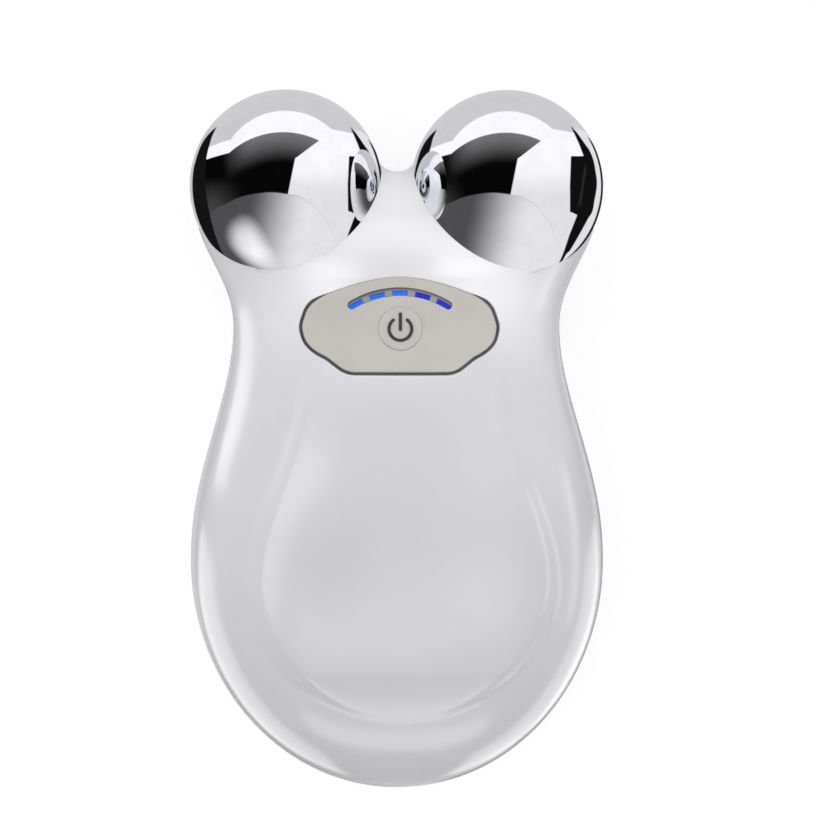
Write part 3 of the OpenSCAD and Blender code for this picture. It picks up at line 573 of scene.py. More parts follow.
wells = [cylinder_cut("well", side * x, y, -CUT, WELL_Z, WELL_R)
         for side in (-1, 1) for x, y in zip(SCREW_X, SCREW_Y)]
port_loop = bar_loop(PORT_W, PORT_H)
port = capped("port", *(columns(port_loop[:, 0], np.full(len(port_loop), y), port_loop[:, 1] + PORT_Z)
                        for y in (TAIL_Y - CUT, TAIL_Y + PORT_DEPTH)))
subtract(rear_cover, wells + [port])
sharpen(front_cover, COVER_SHARP)
sharpen(rear_cover, COVER_SHARP)

# -------- control panel
N_PANEL = 420
PANEL_F = np.linspace(0, 1, N_PANEL, endpoint=False)
PANEL_EDGE, HOLE_EDGE, PANEL_ROWS, PANEL_EDGE_ROWS = 0.26, 0.02, 46, 6


def circle_loop(r):
    a = 2 * math.pi * PANEL_F
    return columns(r * np.sin(a), BUTTON_Y - r * np.cos(a))


def on_face(plan, down=0.0):
    """Points on the front surface, or below it by down."""
    return lifted(plan, front_z(plan[..., 0], plan[..., 1]) - down)


def make_panel():
    hole_r = BUTTON_R + BUTTON_GAP
    s = crowded(np.linspace(0, 1, PANEL_ROWS))
    rows = list(on_face(between(circle_loop(hole_r + HOLE_EDGE), panel_loop(PANEL_F, -PANEL_EDGE), s)))
    for a in np.linspace(0, math.pi / 2, PANEL_EDGE_ROWS + 1)[1:]:
        loop = panel_loop(PANEL_F, -PANEL_EDGE * (1 - math.sin(a)))
        rows.append(on_face(loop, PANEL_EDGE * (1 - math.cos(a))))
    rows.append(level_of(panel_loop(PANEL_F), SEAT_Z))
    web = panel_loop(PANEL_F, -LEDGE_W - SEAT_INSET)
    rows += [level_of(web, SEAT_Z), level_of(web, WEB_Z)]
    rows += [level_of(circle_loop(hole_r), WEB_Z), on_face(circle_loop(hole_r), HOLE_EDGE)]
    return sweep("panel_face", rows)


def arc_loop(half_w, span):
    """Outline of a curved bar with round ends, along the level light's arc."""
    half = math.radians(span / 2)
    r0, r1 = LEVEL_R - half_w, LEVEL_R + half_w
    a = np.linspace(-half, half, 90)
    out, inn = (columns(r * np.sin(a), LEVEL_Y + r * np.cos(a)) for r in (r1, r0))
    mid, w = (r0 + r1) / 2, (r1 - r0) / 2
    ends = []
    for sign in (1, -1):
        c = np.array([mid * math.sin(sign * half), LEVEL_Y + mid * math.cos(half)])
        t = np.linspace(0, math.pi, 14)[1:-1]
        radial = np.array([math.sin(sign * half), math.cos(half)])
        along = np.array([sign * math.cos(half), -math.sin(half)])
        ends.append(c + w * (np.cos(t)[:, None] * radial + np.sin(t)[:, None] * along))
    return np.vstack([out, ends[0], inn[::-1], ends[1][::-1]])


LEVEL_ALL = (LEVEL_COUNT - 1) * LEVEL_STEP + LEVEL_SPAN
RIDGE_ALL = LEVEL_ALL - 2 * math.degrees(math.asin(LEVEL_W / 2 / LEVEL_R))
SLOT_GAP, FOOT_W, GUIDE_DOWN, GUIDE_GAP, THREAD = 0.05, 0.2, 0.22, 0.02, 0.02
SLOT = arc_loop(LEVEL_W / 2 + SLOT_GAP, RIDGE_ALL)
slot_cut = capped("slot", level_of(SLOT, SEAT_Z - CUT), level_of(SLOT, FACE_Z + 2 * CUT))
panel = sharpen(subtract(make_panel(), [slot_cut]), PANEL_SHARP)


def make_guide():
    """Light guide: a curved bar whose ridge fills the panel's slot, a little below the panel's face."""
    ridge, foot = arc_loop(LEVEL_W / 2, RIDGE_ALL), arc_loop(LEVEL_W / 2 + FOOT_W, LEVEL_ALL)
    top = on_face(between(arc_loop(THREAD, RIDGE_ALL), ridge, np.linspace(0, 1, 9)), GUIDE_DOWN)
    guide_z, shelf_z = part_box("level_light_guide")[0].z / MM, WEB_Z - GUIDE_GAP
    rows = [*top, level_of(ridge, shelf_z), level_of(foot, shelf_z), level_of(foot, guide_z),
            level_of(arc_loop(THREAD, LEVEL_ALL), guide_z)]
    obj = sweep("level_guide", rows, closed_ends=False)
    bm = bmesh.new()
    bm.from_mesh(obj.data)
    bmesh.ops.holes_fill(bm, edges=[e for e in bm.edges if e.is_boundary], sides=0)
    bmesh.ops.recalc_face_normals(bm, faces=bm.faces)
    bm.to_mesh(obj.data)
    bm.free()
    obj.data.shade_smooth()
    return sharpen(obj, SMALL_SHARP)


guide = make_guide()

SEAL_GAP, SEAL_TIP, SEAL_DOWN, SEAL_CROWN = 0.02, 0.6, 0.30, 0.12


def make_seal():
    """Soft seal round the sides and the bottom of the panel, slightly crowned."""
    f = PANEL_F[panel_loop(PANEL_F)[:, 1] < NECK_Y + SEAL_FADE[0] - SEAL_TIP]
    f = np.sort(np.where(f > 0.5, f - 1, f))
    rows = []
    for a in np.linspace(0, math.pi, 9):
        across = SEAL_GAP + (SEAL_W - SEAL_GAP) * (0.5 - 0.5 * math.cos(a))
        rows.append(on_face(panel_loop(f, across, True), SEAL_DOWN - SEAL_CROWN * math.sin(a)))
    rows += [level_of(panel_loop(f, SEAL_W, True), SEAT_Z), level_of(panel_loop(f, SEAL_GAP, True), SEAT_Z)]
    rows = np.array(rows)
    idx, faces = quads(rows, True, False)
    faces += [idx[:, 0].tolist(), idx[::-1, -1].tolist()]
    return sharpen(new_object("panel_gasket", rows.reshape(-1, 3), faces), COVER_SHARP)


seal = make_seal()


# -------- pieces made by turning a profile
def lathe(name, profile, segments, turned, at):
    """A closed solid from a profile of (radius, height) points that starts and ends on the axis."""
    profile = np.asarray(profile, float)
    a = np.linspace(0, 2 * math.pi, segments, endpoint=False)
    inner = profile[1:-1]
    rows = columns(inner[:, 0, None] * np.cos(a), inner[:, 0, None] * np.sin(a),
                     np.repeat(inner[:, 1, None], segments, 1))
    ends = {"start": np.array([0, 0, profile[0, 1]]), "end": np.array([0, 0, profile[-1, 1]])}
    return sweep(name, rows @ turned.T + at, closed_ends=False,
                 fans={k: v @ turned.T + at for k, v in ends.items()})


BUTTON_EDGE, BUTTON_FLAT, TIP_R, FLANGE_GAP = 0.2, 2.78, 1.2, 0.05
DISH = [(0, 0.06), (0.9, 0.055), (1.7, 0.04), (2.3, 0.018), (2.62, 0.004)]  # radius, depth below the rim


def make_button():
    top = FACE_Z + BUTTON_PROUD
    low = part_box("power_button")[0].z / MM
    flange_z = WEB_Z - FLANGE_GAP - FLANGE_T
    flat, corner, side = np.array([(BUTTON_FLAT, top), (BUTTON_R, top), (BUTTON_R, top - BUTTON_EDGE)])
    rim = bent(flat, corner, side, np.linspace(0, 1, 7)[:, None])
    prof = [(r, top - deep) for r, deep in DISH] + rim.tolist()
    prof += [(BUTTON_R, flange_z + FLANGE_T), (BUTTON_R + FLANGE_W, flange_z + FLANGE_T),
             (BUTTON_R + FLANGE_W, flange_z), (TIP_R, flange_z), (TIP_R, low), (0, low)]
    return sharpen(lathe("button_cap", prof, 128, np.eye(3), np.array([0, BUTTON_Y, 0])), SMALL_SHARP)


button = make_button()
SPHERE_INSET = 0.007  # keeps the spheres inside the solids' box


def make_sphere(name, side):
    """Hollow polished sphere, turned about its stud's line, with the stud's bore and the boss round it."""
    r, r_in = SPHERE_R - SPHERE_INSET, SPHERE_R - SPHERE_WALL
    stud_from = SPHERE_R - BOSS_H
    out_turn = np.linspace(0, math.pi - math.asin(STUD_R / r), 260)
    in_turn = np.linspace(math.asin(BOSS_R / r_in), math.pi, 60)
    profile = [(r * math.sin(a), -r * math.cos(a)) for a in out_turn]
    profile += [(STUD_R, stud_from), (BOSS_R, stud_from)]
    profile += [(r_in * math.sin(a), r_in * math.cos(a)) for a in in_turn]
    turn = math.radians(STUD_TURN) * side
    axis = np.array([-math.sin(turn), -math.cos(turn), 0.0])
    across = np.array([0, 0, 1.0])
    basis = columns(np.cross(across, axis), across, axis)
    place = np.array([side * SPHERE_X, SPHERE_Y, JOINT_H])
    return sharpen(lathe(name, profile, 256, basis, place), BALL_SHARP)


spheres = {"left": make_sphere("ball_left", -1), "right": make_sphere("ball_right", 1)}


# -------- node trees
def feed(tree, node, *values):
    """Links or sets a node's first inputs, and gives its first output."""
    for slot, value in zip(node.inputs, values):
        if isinstance(value, Val):
            tree.links.new(value.socket, slot)
        else:
            slot.default_value = float(value)
    return Val(tree, node.outputs[0])


def math_node(operation, swapped=False):
    """A method of Val that adds a math node."""
    def method(self, *others):
        node = self.tree.nodes.new("ShaderNodeMath")
        node.operation = operation
        return feed(self.tree, node, *((*others, self) if swapped else (self, *others)))
    return method


class Val:
    """A socket that can be used in sums and products."""

    def __init__(self, tree, socket):
        self.tree, self.socket = tree, socket

    __add__, __radd__ = math_node("ADD"), math_node("ADD", True)
    __sub__, __rsub__ = math_node("SUBTRACT"), math_node("SUBTRACT", True)
    __mul__, __rmul__ = math_node("MULTIPLY"), math_node("MULTIPLY", True)
    __truediv__, atan2, max = math_node("DIVIDE"), math_node("ARCTAN2"), math_node("MAXIMUM")
    abs, sqrt, floor = math_node("ABSOLUTE"), math_node("SQRT"), math_node("FLOOR")

    def __neg__(self):
        return self * -1.0

    def step(self, low, high):
        """0 below low, 1 above high, smooth between. Either may be a Val."""
        node = self.tree.nodes.new("ShaderNodeMapRange")
        node.interpolation_type = "SMOOTHSTEP"
        return feed(self.tree, node, self, low, high)

    def over(self, limit, soft=0.01):
        return (self - limit).step(-soft, soft)

    def under(self, limit, soft=0.01):
        return (limit - self).step(-soft, soft)

    def line(self, points, low=-1.0, high=1.0, curved=True):
        """Value of a curve, or of a broken line, through points (x, y), with x and y from low to high."""
        node = self.tree.nodes.new("ShaderNodeValToRGB")
        ramp = node.color_ramp
        ramp.interpolation = "CARDINAL" if curved else "LINEAR"
        for i, (x, y) in enumerate(points):
            at = (x - low) / (high - low)
            stop = ramp.elements[i] if i < 2 else ramp.elements.new(at)
            stop.position = at
            stop.color = [(y - low) / (high - low)] * 3 + [1.0]
        fac = (self - low) * (1.0 / (high - low))
        self.tree.links.new(fac.socket, node.inputs["Fac"])
        grey = self.tree.nodes.new("ShaderNodeRGBToBW")
        self.tree.links.new(node.outputs["Color"], grey.inputs[0])
        return Val(self.tree, grey.outputs[0]) * (high - low) + low


def mix(a, b, fac):
    """a where fac is 0, b where it is 1, for single values."""
    return a + (b - a) * fac


class Tree:
    """Short ways to add nodes to a material's or the world's tree."""

    def __init__(self, tree):
        self.tree = tree
        tree.nodes.clear()

    def node(self, kind, **values):
        node = self.tree.nodes.new("ShaderNode" + kind)
        for key, value in values.items():
            setattr(node, key, value)
        return node

    def link(self, a, b):
        self.tree.links.new(a.socket if isinstance(a, Val) else a, b)

    def val(self, socket):
        return Val(self.tree, socket)

    def xyz(self, socket):
        node = self.node("SeparateXYZ")
        self.link(socket, node.inputs[0])
        return [Val(self.tree, s) for s in node.outputs]

    def place(self):
        """Object coordinates in millimetres."""
        coord = self.node("TexCoord")
        scale = self.node("VectorMath", operation="SCALE")
        self.link(coord.outputs["Object"], scale.inputs[0])
        scale.inputs["Scale"].default_value = 1000.0
        return scale.outputs[0]

    def noise(self, vector, size, detail=2.0, rough=0.5):
        """Noise from 0 to 1 whose features are about size millimetres."""
        node = self.node("TexNoise")
        self.link(vector, node.inputs["Vector"])
        node.inputs["Scale"].default_value = 1.0 / size
        node.inputs["Detail"].default_value = detail
        node.inputs["Roughness"].default_value = rough
        return Val(self.tree, node.outputs["Fac"])

    def colour(self, a, b, fac):
        node = self.node("Mix", data_type="RGBA")
        self.link(fac, node.inputs["Factor"])
        for slot, value in ((node.inputs[6], a), (node.inputs[7], b)):
            if isinstance(value, (tuple, list)):
                slot.default_value = (*value, 1.0)
            else:
                self.link(value, slot)
        return node.outputs[2]

    def bump(self, height, distance):
        node = self.node("Bump")
        self.link(height, node.inputs["Height"])
        node.inputs["Distance"].default_value = distance * MM
        node.inputs["Strength"].default_value = 1.0
        return node.outputs["Normal"]


def rgb(r, g, b):
    """Linear colour from display values from 0 to 255."""
    shares = (r / 255, g / 255, b / 255)
    return tuple(c / 12.92 if c <= 0.04045 else ((c + 0.055) / 1.055) ** 2.4 for c in shares)


def blank_material(name):
    """A new material, its Tree and its output."""
    mat = bpy.data.materials.new(name)
    mat.use_nodes = True
    t = Tree(mat.node_tree)
    return mat, t, t.node("OutputMaterial")


def material(name, **inputs):
    """A new principled material, its Tree and its shader. Inputs are set on the shader's own sockets."""
    mat, t, out = blank_material(name)
    shader = t.node("BsdfPrincipled")
    t.link(shader.outputs[0], out.inputs["Surface"])
    for key, value in inputs.items():
        slot = shader.inputs[key.replace("_", " ")]
        slot.default_value = (*value, 1.0) if isinstance(value, tuple) and len(value) == 3 else value
    return mat, t, shader


def finish(name, light, dark, size, rough=(0.3, 0.4), bump=0.0, bump_size=0.3, **inputs):
    """A finish whose colour and roughness wander a little, with an optional fine relief."""
    mat, t, shader = material(name, **inputs)
    at = t.place()
    patches = t.noise(at, size, 4.0, 0.55)
    t.link(t.colour(dark, light, patches.step(0.3, 0.7)), shader.inputs["Base Color"])
    t.link(mix(rough[0], rough[1], t.noise(at, size * 0.4, 3.0)), shader.inputs["Roughness"])
    if bump:
        t.link(t.bump(t.noise(at, bump_size, 3.0, 0.6), bump), shader.inputs["Normal"])
    return mat


def paint(obj, mat):
    obj.data.materials.clear()
    obj.data.materials.append(mat)
    return obj


# -------- finishes
# name, light and dark colour, size of the patches, roughness, depth and size of the relief
gloss = finish("cover_gloss", rgb(238, 238, 240), rgb(235, 235, 238), 14, (0.20, 0.25), 0.003, 0.9, IOR=1.5)


def panel_finish():
    mat, t, shader = material("panel_satin", IOR=1.45)
    at = t.place()
    cloud = t.noise(at, 5, 3)
    grain = t.noise(at, 0.16, 2, 0.7)
    base = t.colour(rgb(220, 216, 210), rgb(226, 222, 216), cloud.step(0.3, 0.7))
    t.link(t.colour(base, rgb(208, 204, 198), grain.step(0.62, 0.9) * 0.3), shader.inputs["Base Color"])
    t.link(mix(0.34, 0.46, grain), shader.inputs["Roughness"])
    t.link(t.bump(grain, 0.006), shader.inputs["Normal"])
    return mat


def guide_finish():
    """Light guide: blue where a light is behind it, grey between, with painted shade darkening the grey along
    the slot's upper edge.
    """
    mat, t, shader = material("level_guide_blue", IOR=1.45, Roughness=0.25)
    x, y, _ = t.xyz(t.place())
    dy = y - LEVEL_Y
    turn = x.atan2(dy) * (180 / math.pi)
    r = (x * x + dy * dy).sqrt()
    half = (LEVEL_COUNT - 1) / 2
    place = turn * (1 / LEVEL_STEP) + half + 0.5
    inside = ((place - place.floor()) - 0.5).abs()
    lit = inside.under(LEVEL_SPAN / LEVEL_STEP / 2, 0.045) * r.under(LEVEL_R + 0.19, 0.10)
    across = x.step(0.8, 2.6)
    blue = t.colour(rgb(52, 112, 226), rgb(4, 12, 186), across)
    # grey between the lights, darkened towards the slot's upper edge by painted shade
    grey = t.colour(rgb(176, 175, 172), rgb(120, 118, 114), r.step(LEVEL_R + 0.05, LEVEL_R + 0.5))
    t.link(t.colour(grey, rgb(16, 24, 60), lit), shader.inputs["Base Color"])
    core = mix(0.62, 1, r.under(LEVEL_R - 0.05, 0.35))
    t.link(blue, shader.inputs["Emission Color"])
    t.link(lit * core, shader.inputs["Emission Strength"])
    return mat


def chrome_finish():
    mat, t, shader = material("sphere_chrome", Metallic=1)
    at = t.place()
    haze = t.noise(at, 2.4, 4)
    t.link(t.colour(rgb(238, 238, 242), rgb(244, 244, 247), haze.step(0.3, 0.7)), shader.inputs["Base Color"])
    t.link(mix(0.012, 0.03, haze), shader.inputs["Roughness"])
    return mat


panel_mat, guide_mat, chrome = panel_finish(), guide_finish(), chrome_finish()
seal_mat = finish("seal_grey", rgb(92, 98, 94), rgb(76, 82, 79), 1.2, (0.42, 0.55), 0.01, 0.25)
button_mat = finish("button_satin", rgb(226, 223, 218), rgb(222, 219, 213), 2.2, (0.36, 0.46), 0.005, 0.2,
                    IOR=1.45)
ink = finish("symbol_ink", rgb(70, 70, 70), rgb(60, 60, 60), 0.5, (0.35, 0.5), 0.006, 0.1)

INSIDE = {name: finish(name, rgb(*light), rgb(*dark), *look, Metallic=metal)
          for name, light, dark, look, metal in (
    ("stud_brass", (214, 184, 110), (190, 158, 88), (1.5, (0.2, 0.32), 0.01, 0.3), 1),
    ("seal_black", (44, 44, 46), (32, 32, 34), (1, (0.5, 0.65), 0.012, 0.2), 0),
    ("steel_plated", (205, 206, 210), (178, 180, 186), (1.2, (0.2, 0.35), 0.01, 0.25), 1),
    ("lead_green", (34, 110, 58), (24, 92, 48), (1.5, (0.35, 0.5), 0.01, 0.3), 0),
    ("lead_red", (176, 38, 34), (150, 30, 28), (1.5, (0.35, 0.5), 0.01, 0.3), 0),
    ("board_green", (34, 104, 62), (22, 82, 48), (1.8, (0.3, 0.45), 0.02, 0.5), 0),
    ("light_yellow", (240, 232, 170), (226, 214, 140), (0.6, (0.2, 0.3), 0.008, 0.2), 0),
    ("part_black", (46, 46, 48), (34, 34, 36), (1, (0.4, 0.55), 0.012, 0.2), 0),
    ("contact_gold", (236, 196, 100), (214, 170, 76), (0.8, (0.18, 0.3), 0.006, 0.2), 1),
    ("ferrite", (120, 74, 44), (92, 56, 34), (0.7, (0.45, 0.6), 0.03, 0.25), 0),
    ("capacitor_blue", (54, 68, 98), (44, 56, 84), (1.6, (0.25, 0.4), 0.01, 0.4), 0),
    ("cell_foil", (196, 200, 208), (176, 180, 190), (3, (0.25, 0.4), 0.03, 1.2), 0.8),
    ("foam_grey", (96, 100, 106), (70, 74, 80), (0.5, (0.8, 0.95), 0.12, 0.35), 0),
    ("plug_ivory", (232, 226, 210), (220, 212, 194), (1.2, (0.35, 0.5), 0.01, 0.3), 0))}
INSIDE.update(symbol_ink=ink, cover_gloss=gloss)

# -------- pieces onto their bodies
# piece, its material, its body, the node that it replaces and its slot
PIECES = (
    (front_cover, gloss, "housing", "front_cover", "cover_gloss"),
    (rear_cover, gloss, "housing", "rear_cover", "cover_gloss"),
    (panel, panel_mat, "housing", "panel_plate", "panel_satin"),
    (seal, seal_mat, "housing", "panel_seal", "seal_grey"),
    (guide, guide_mat, "housing", "level_light_guide", "level_blue"),
    (button, button_mat, "button", "power_button", "button_satin"),
    (spheres["left"], chrome, "housing", "left_sphere", "sphere_chrome"),
    (spheres["right"], chrome, "housing", "right_sphere", "sphere_chrome"))
for piece, mat, body, node, slot in PIECES:
    paint(piece, mat)
    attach(piece, body)
    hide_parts(node)

shown = {node for _, _, _, node, _ in PIECES}
for part in frame["record"]["subparts"]:
    if part["node"] not in shown:
        paint(NODES[part["node"]], INSIDE[part["material_slot"]])

# -------- studio
YAW = math.radians(3)  # the camera looks from this far to the left
VIEW = Vector((-math.sin(YAW), 0, math.cos(YAW)))
ACROSS = Vector((math.cos(YAW), 0, math.sin(YAW)))

# The room is laid out by where a sphere seen from above would show it: u to the right and v up, from -1 to 1.
# Points are (u, v) on a line that runs across, and (v, u) on one that runs up. An arc is the upper half of a
# circle, with its centre's u and v and its radius.
TOP_LINE, TOP_ARC = [(-1, 0.27), (-0.83, 0.276), (-0.58, 0.33), (1, 0.33)], (-0.02, -0.313, 0.85)
LOW_LINE = [(-1, -0.40), (-0.76, -0.26), (-0.52, -0.15), (-0.23, -0.09), (0.03, -0.106), (0.18, -0.145),
            (0.33, -0.26), (0.46, -0.42), (0.52, -0.6), (0.54, -0.85), (0.6, -1), (1, -1)]
BOX_LEFT = [(-1, 0.03), (-0.106, 0.03), (0.27, 0.105), (0.28, 0.125), (0.455, 0.345), (0.6, 0.345),
            (1, 0.345)]
BOX_RIGHT = [(-1, 0.56), (-0.78, 0.58), (-0.5, 0.655), (-0.28, 0.735), (-0.27, 0.653), (0, 0.645),
             (0.3, 0.653), (1, 0.653)]
ARCH_LINE = [(-1, 0.38), (-0.8, 0.40), (-0.6, 0.46), (0.4, 0.59), (0.7, 0.55), (1, 0.5)]
ARCH_ARC = (0, 0.084, 0.678)
FLAG_INNER = [(-1, 0.5), (-0.78, 0.58), (-0.294, 0.735), (-0.265, 0.653), (0.305, 0.653), (0.315, 0.785),
              (0.45, 0.73), (0.618, 0.65), (1, 0.65)]
FLAG_OUTER = [(-1, 0.5), (-0.78, 0.60), (-0.65, 0.68), (-0.294, 0.86), (-0.09, 0.915), (0.147, 0.918),
              (0.41, 0.83), (0.618, 0.655), (1, 0.5)]
FLAG_STREAK = [(-1, 0.7), (-0.25, 0.74), (0.1, 0.79), (0.3, 0.79), (1, 0.7)]
# angle, and hundredths of the sphere's radius
CRESCENT_NEAR = [(0, 97), (120, 97), (139, 93.2), (148, 89.8), (163, 85.2), (180, 82.6), (198, 83.4),
                 (210, 87.5), (217, 91.5), (228, 98), (360, 98)]
CRESCENT_FAR = [(0, 90), (120, 90), (139, 93.4), (148, 96.5), (163, 96.8), (180, 96.6), (198, 97.4),
                (213, 98.6), (228, 98.8), (360, 98.8)]
# brightness of the room's parts
DEEP, DEEP_GLOW, DEEP_SIDE, PATCH, PATCH_GLOW = 0.002, 0.20, 0.06, 0.085, 0.80
SOFT_BOX, ARCH, RING, CORNER = (0.86, 1.08), 1.10, 0.68, 1.09
FLAG, STREAK, TABLE, TABLE_LINE, LEFT_RIM, CRESCENT = 0.006, 0.02, 0.86, 0.02, 0.62, 0.008
# brightness that plain surfaces get: from all round, and more or less of it from each side
ROUND, FROM_LEFT, FROM_RIGHT, FROM_HEAD, FROM_TAIL, LOW_TAIL = 0.738, 0.42, 0.22, 0.12, 0.38, 0.6
HARD, SOFT = 0.006, 0.02  # how blurred an edge is


def studio():
    """The room round the object: a soft box, dark flags and white cards for mirror-like surfaces, a smooth
    light for plain ones, and white for the camera."""
    world = bpy.data.worlds.new("studio")
    scene.world = world
    world.use_nodes = True
    t = Tree(world.node_tree)
    out = t.node("OutputWorld")
    coord = t.node("TexCoord")
    x, y, z = t.xyz(coord.outputs["Generated"])
    hx, hz = x + VIEW.x, z + VIEW.z
    size = (hx * hx + y * y + hz * hz).sqrt().max(1e-4)
    u, v = (hx * ACROSS.x + hz * ACROSS.z) / size, y / size
    r = (u * u + v * v).sqrt()
    turn = v.atan2(u) * (180 / math.pi)  # -180 to 180, 90 is up
    left_turn = turn + (turn.under(0, 0.001) * 360)  # 0 to 360

    def arc(along, across, up, radius):
        return (radius * radius - (along - across) * (along - across)).max(0).sqrt() + up

    def lay(shade, where):
        nonlocal value
        value = mix(value, shade, where)

    # dark part, and the low patch that is dark at the left with a soft light in it
    top = u.line(TOP_LINE, curved=False).max(arc(u, *TOP_ARC))
    low = u.line(LOW_LINE)
    base = DEEP + DEEP_GLOW * (v - top).step(-0.33, 0.03) * u.step(-0.66, -0.3)
    base = base + DEEP_SIDE * (-u).step(0.4, 0.8) * (-v).step(-0.12, 0.25)
    patch = PATCH + PATCH_GLOW * (u - 0.25 * (v + 0.3)).step(-0.42, 0.27)
    value = mix(base, patch, v.under(low, 0.008))
    # soft box
    left, right = v.line(BOX_LEFT, curved=False), v.line(BOX_RIGHT, curved=False)
    box = u.over(left, HARD) * u.under(right, HARD) * v.over(low, 0.008)
    lay(mix(*SOFT_BOX, v.step(-0.15, 0.25)), box)
    # white arch and the grey ring outside it
    lay(ARCH, v.over(top, HARD) * (1 - u.over(0.70, SOFT)).max(v.over(0.3, SOFT)))
    arch = u.line(ARCH_LINE, curved=False).max(arc(u, *ARCH_ARC))
    lay(RING, v.over(arch, HARD))
    lay(CORNER, u.over(0.62, SOFT) * v.over(0.30, SOFT) * v.under(arch, HARD))
    # dark flag at the right, with a thin light line in it
    outer = v.line(FLAG_OUTER)
    flag = u.over(v.line(FLAG_INNER, curved=False), HARD) * u.under(outer, HARD)
    streak = (u - v.line(FLAG_STREAK)).abs().under(0.012, 0.012)
    lay(FLAG + STREAK * streak * v.over(-0.2, 0.05) * v.under(0.22, 0.05), flag)
    # rim of the table: light, with a dark line at the right
    lay(TABLE, u.over(outer, HARD) * v.under(0.6, SOFT) * u.over(0.3, SOFT))
    lay(TABLE_LINE, r.over(0.975, 0.004) * u.over(0.2, 0.05) * v.under(0.55, 0.03))
    # dark crescent at the left
    near, far = (left_turn.line(points, 0, 360) * 0.01 for points in (CRESCENT_NEAR, CRESCENT_FAR))
    lay(LEFT_RIM, r.over(far, 0.005) * u.under(0, 0.01) * v.under(0.62, SOFT))
    lay(CRESCENT, r.over(near, 0.005) * r.under(far, 0.005) * u.under(0, 0.01))

    path = t.node("LightPath")
    camera, glossy = t.val(path.outputs["Is Camera Ray"]), t.val(path.outputs["Is Glossy Ray"])
    lit = ROUND + FROM_LEFT * (-x).max(0) + FROM_RIGHT * x.max(0) - FROM_HEAD * y.max(0) \
        - FROM_TAIL * (-y).max(0) - LOW_TAIL * (-y).step(0.62, 1)
    strength = mix(mix(lit, value, glossy), 1, camera)
    background = t.node("Background")
    t.link(t.colour((0.985, 0.985, 1), (1, 1, 1), camera), background.inputs["Color"])
    t.link(strength, background.inputs["Strength"])
    t.link(background.outputs[0], out.inputs["Surface"])
    world.cycles.sampling_method = "MANUAL"
    world.cycles.sample_map_resolution = 512


studio()

FLOOR_REACH, FLOOR_GREY, FLOOR_SEEN = 1.5, 0.82, 0.50


def make_floor():
    bm = bmesh.new()
    bmesh.ops.create_grid(bm, x_segments=1, y_segments=1, size=FLOOR_REACH)
    floor = fresh("floor", mesh_of("floor", bm))
    mat, t, out = blank_material("floor_white")
    diffuse, glow = t.node("BsdfDiffuse"), t.node("Emission")
    add = t.node("AddShader")
    diffuse.inputs["Color"].default_value = (FLOOR_GREY, FLOOR_GREY, FLOOR_GREY, 1)
    path = t.node("LightPath")
    t.link(t.val(path.outputs["Is Camera Ray"]) * FLOOR_SEEN, glow.inputs["Strength"])
    t.link(diffuse.outputs[0], add.inputs[0])
    t.link(glow.outputs[0], add.inputs[1])
    t.link(add.outputs[0], out.inputs["Surface"])
    paint(floor, mat)
    floor.visible_glossy = False


make_floor()


def area(name, at, to, size, power, only, soft=True, spread=180):
    """A rectangular lamp at a point in millimetres, turned to another, for some pieces only. With soft off it
    doesn't light them, and shows only as a streak in their gloss."""
    lamp = bpy.data.lights.new(name, "AREA")
    lamp.shape, lamp.size, lamp.size_y, lamp.energy = "RECTANGLE", size[0] * MM, size[1] * MM, power
    lamp.spread = math.radians(spread)
    obj = fresh(name, lamp)
    obj.location = Vector(at) * MM
    obj.rotation_euler = (Vector(to) - Vector(at)).to_track_quat("-Z", "Y").to_euler()
    obj.visible_camera = False
    obj.visible_diffuse = soft
    group = bpy.data.collections.new(name + "_lights")
    for piece in only:
        group.objects.link(piece)
    obj.light_linking.receiver_collection = group
    return obj


COVERS = (front_cover, rear_cover)
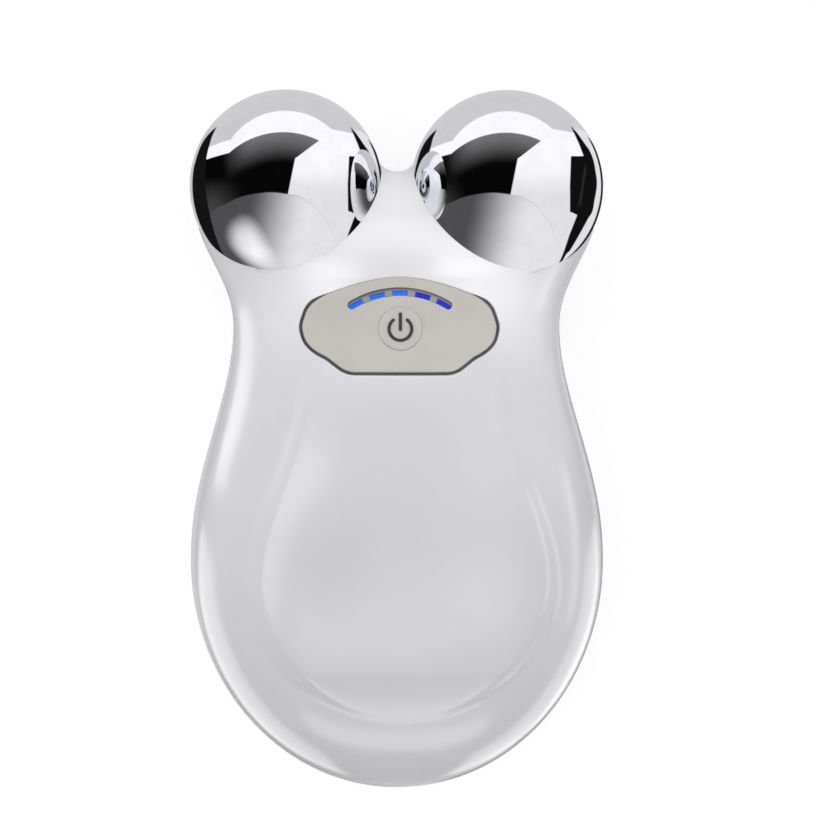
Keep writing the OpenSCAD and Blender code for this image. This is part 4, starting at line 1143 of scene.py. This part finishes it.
# name, place, what it is turned to, size, power, and then soft and spread
LAMPS = (
    ("saddle", (0, 42, 46), (0, 25, 29), (34, 12), 0.0017),
    ("shoulder_left", (-16, 26, 46), (-15.04, 22, 29), (16, 8), 0.00013, True, 75),
    ("shoulder_right", (17, 26, 46), (15.98, 22, 29), (16, 8), 0.00024, True, 75),
    ("left", (-86, 30, 16), (-22, 0, 30), (36, 40), 0.016, False),
    ("pad", (-44, 0, 92), (-16, -14, 37), (84, 24), 0.014, False),
    ("right", (92, -10, 46), (20, -12, 36), (72, 14), 0.0090, False),
    ("tail", (0, -112, 77), (0, -42, 34), (110, 30), 0.028, False),
    ("palm", (4, -42, 126), (0, -26, 39), (110, 30), 0.014, False),
    ("low_left", (-52, -54, 8), (-23, -33, 29), (100, 44), 0.034, False),
    ("low_right", (54, -54, 8), (23, -33, 29), (100, 44), 0.034, False))
# the spheres show the studio and each other, and not the body they stand in
for obj in (*NODES.values(), *COVERS, panel, guide, seal, button):
    obj.visible_glossy = False
for name, at, to, size, power, *kind in LAMPS:
    area("lamp_" + name, at, to, size, power, COVERS, *kind)


def glow(name, at, to, size, turn, power, only):
    """An oval lamp that fades towards its edge."""
    lamp = area(name, at, to, size, power, only)
    lamp.rotation_euler.rotate_axis("Z", math.radians(turn))
    lamp.data.shape = "ELLIPSE"
    lamp.data.use_nodes = True
    t = Tree(lamp.data.node_tree)
    x, y, _ = t.xyz(t.node("NewGeometry").outputs["Parametric"])
    emission = t.node("Emission")
    far = ((x - 0.5) * (x - 0.5) + (y - 0.5) * (y - 0.5)).sqrt() * 2
    t.link(1 - far.step(0.15, 1), emission.inputs["Strength"])
    t.link(emission.outputs[0], t.node("OutputLight").inputs[0])


glow("glow_left_ball", (-60, -36, 24), (-21, 27, 31), (80, 150), 25, 0.0235, (spheres["left"],))

# -------- camera
DISTANCE, AIM = 900, (1.6, 3.83, JOINT_H)
PICTURE_W, PIXEL, SENSOR = 816, 0.1392, 36  # pixels, mm of a pixel at the joint, mm
camera = fresh("camera", bpy.data.cameras.new("camera"))
camera.location = (Vector(AIM) + VIEW * DISTANCE) * MM
camera.rotation_euler = (0, -YAW, 0)
camera.data.sensor_fit = "HORIZONTAL"
camera.data.sensor_width = SENSOR
camera.data.lens = SENSOR * DISTANCE / (PICTURE_W * PIXEL)
camera.data.clip_start, camera.data.clip_end = 0.01, 10
scene.camera = camera
scene.view_settings.view_transform = "Standard"
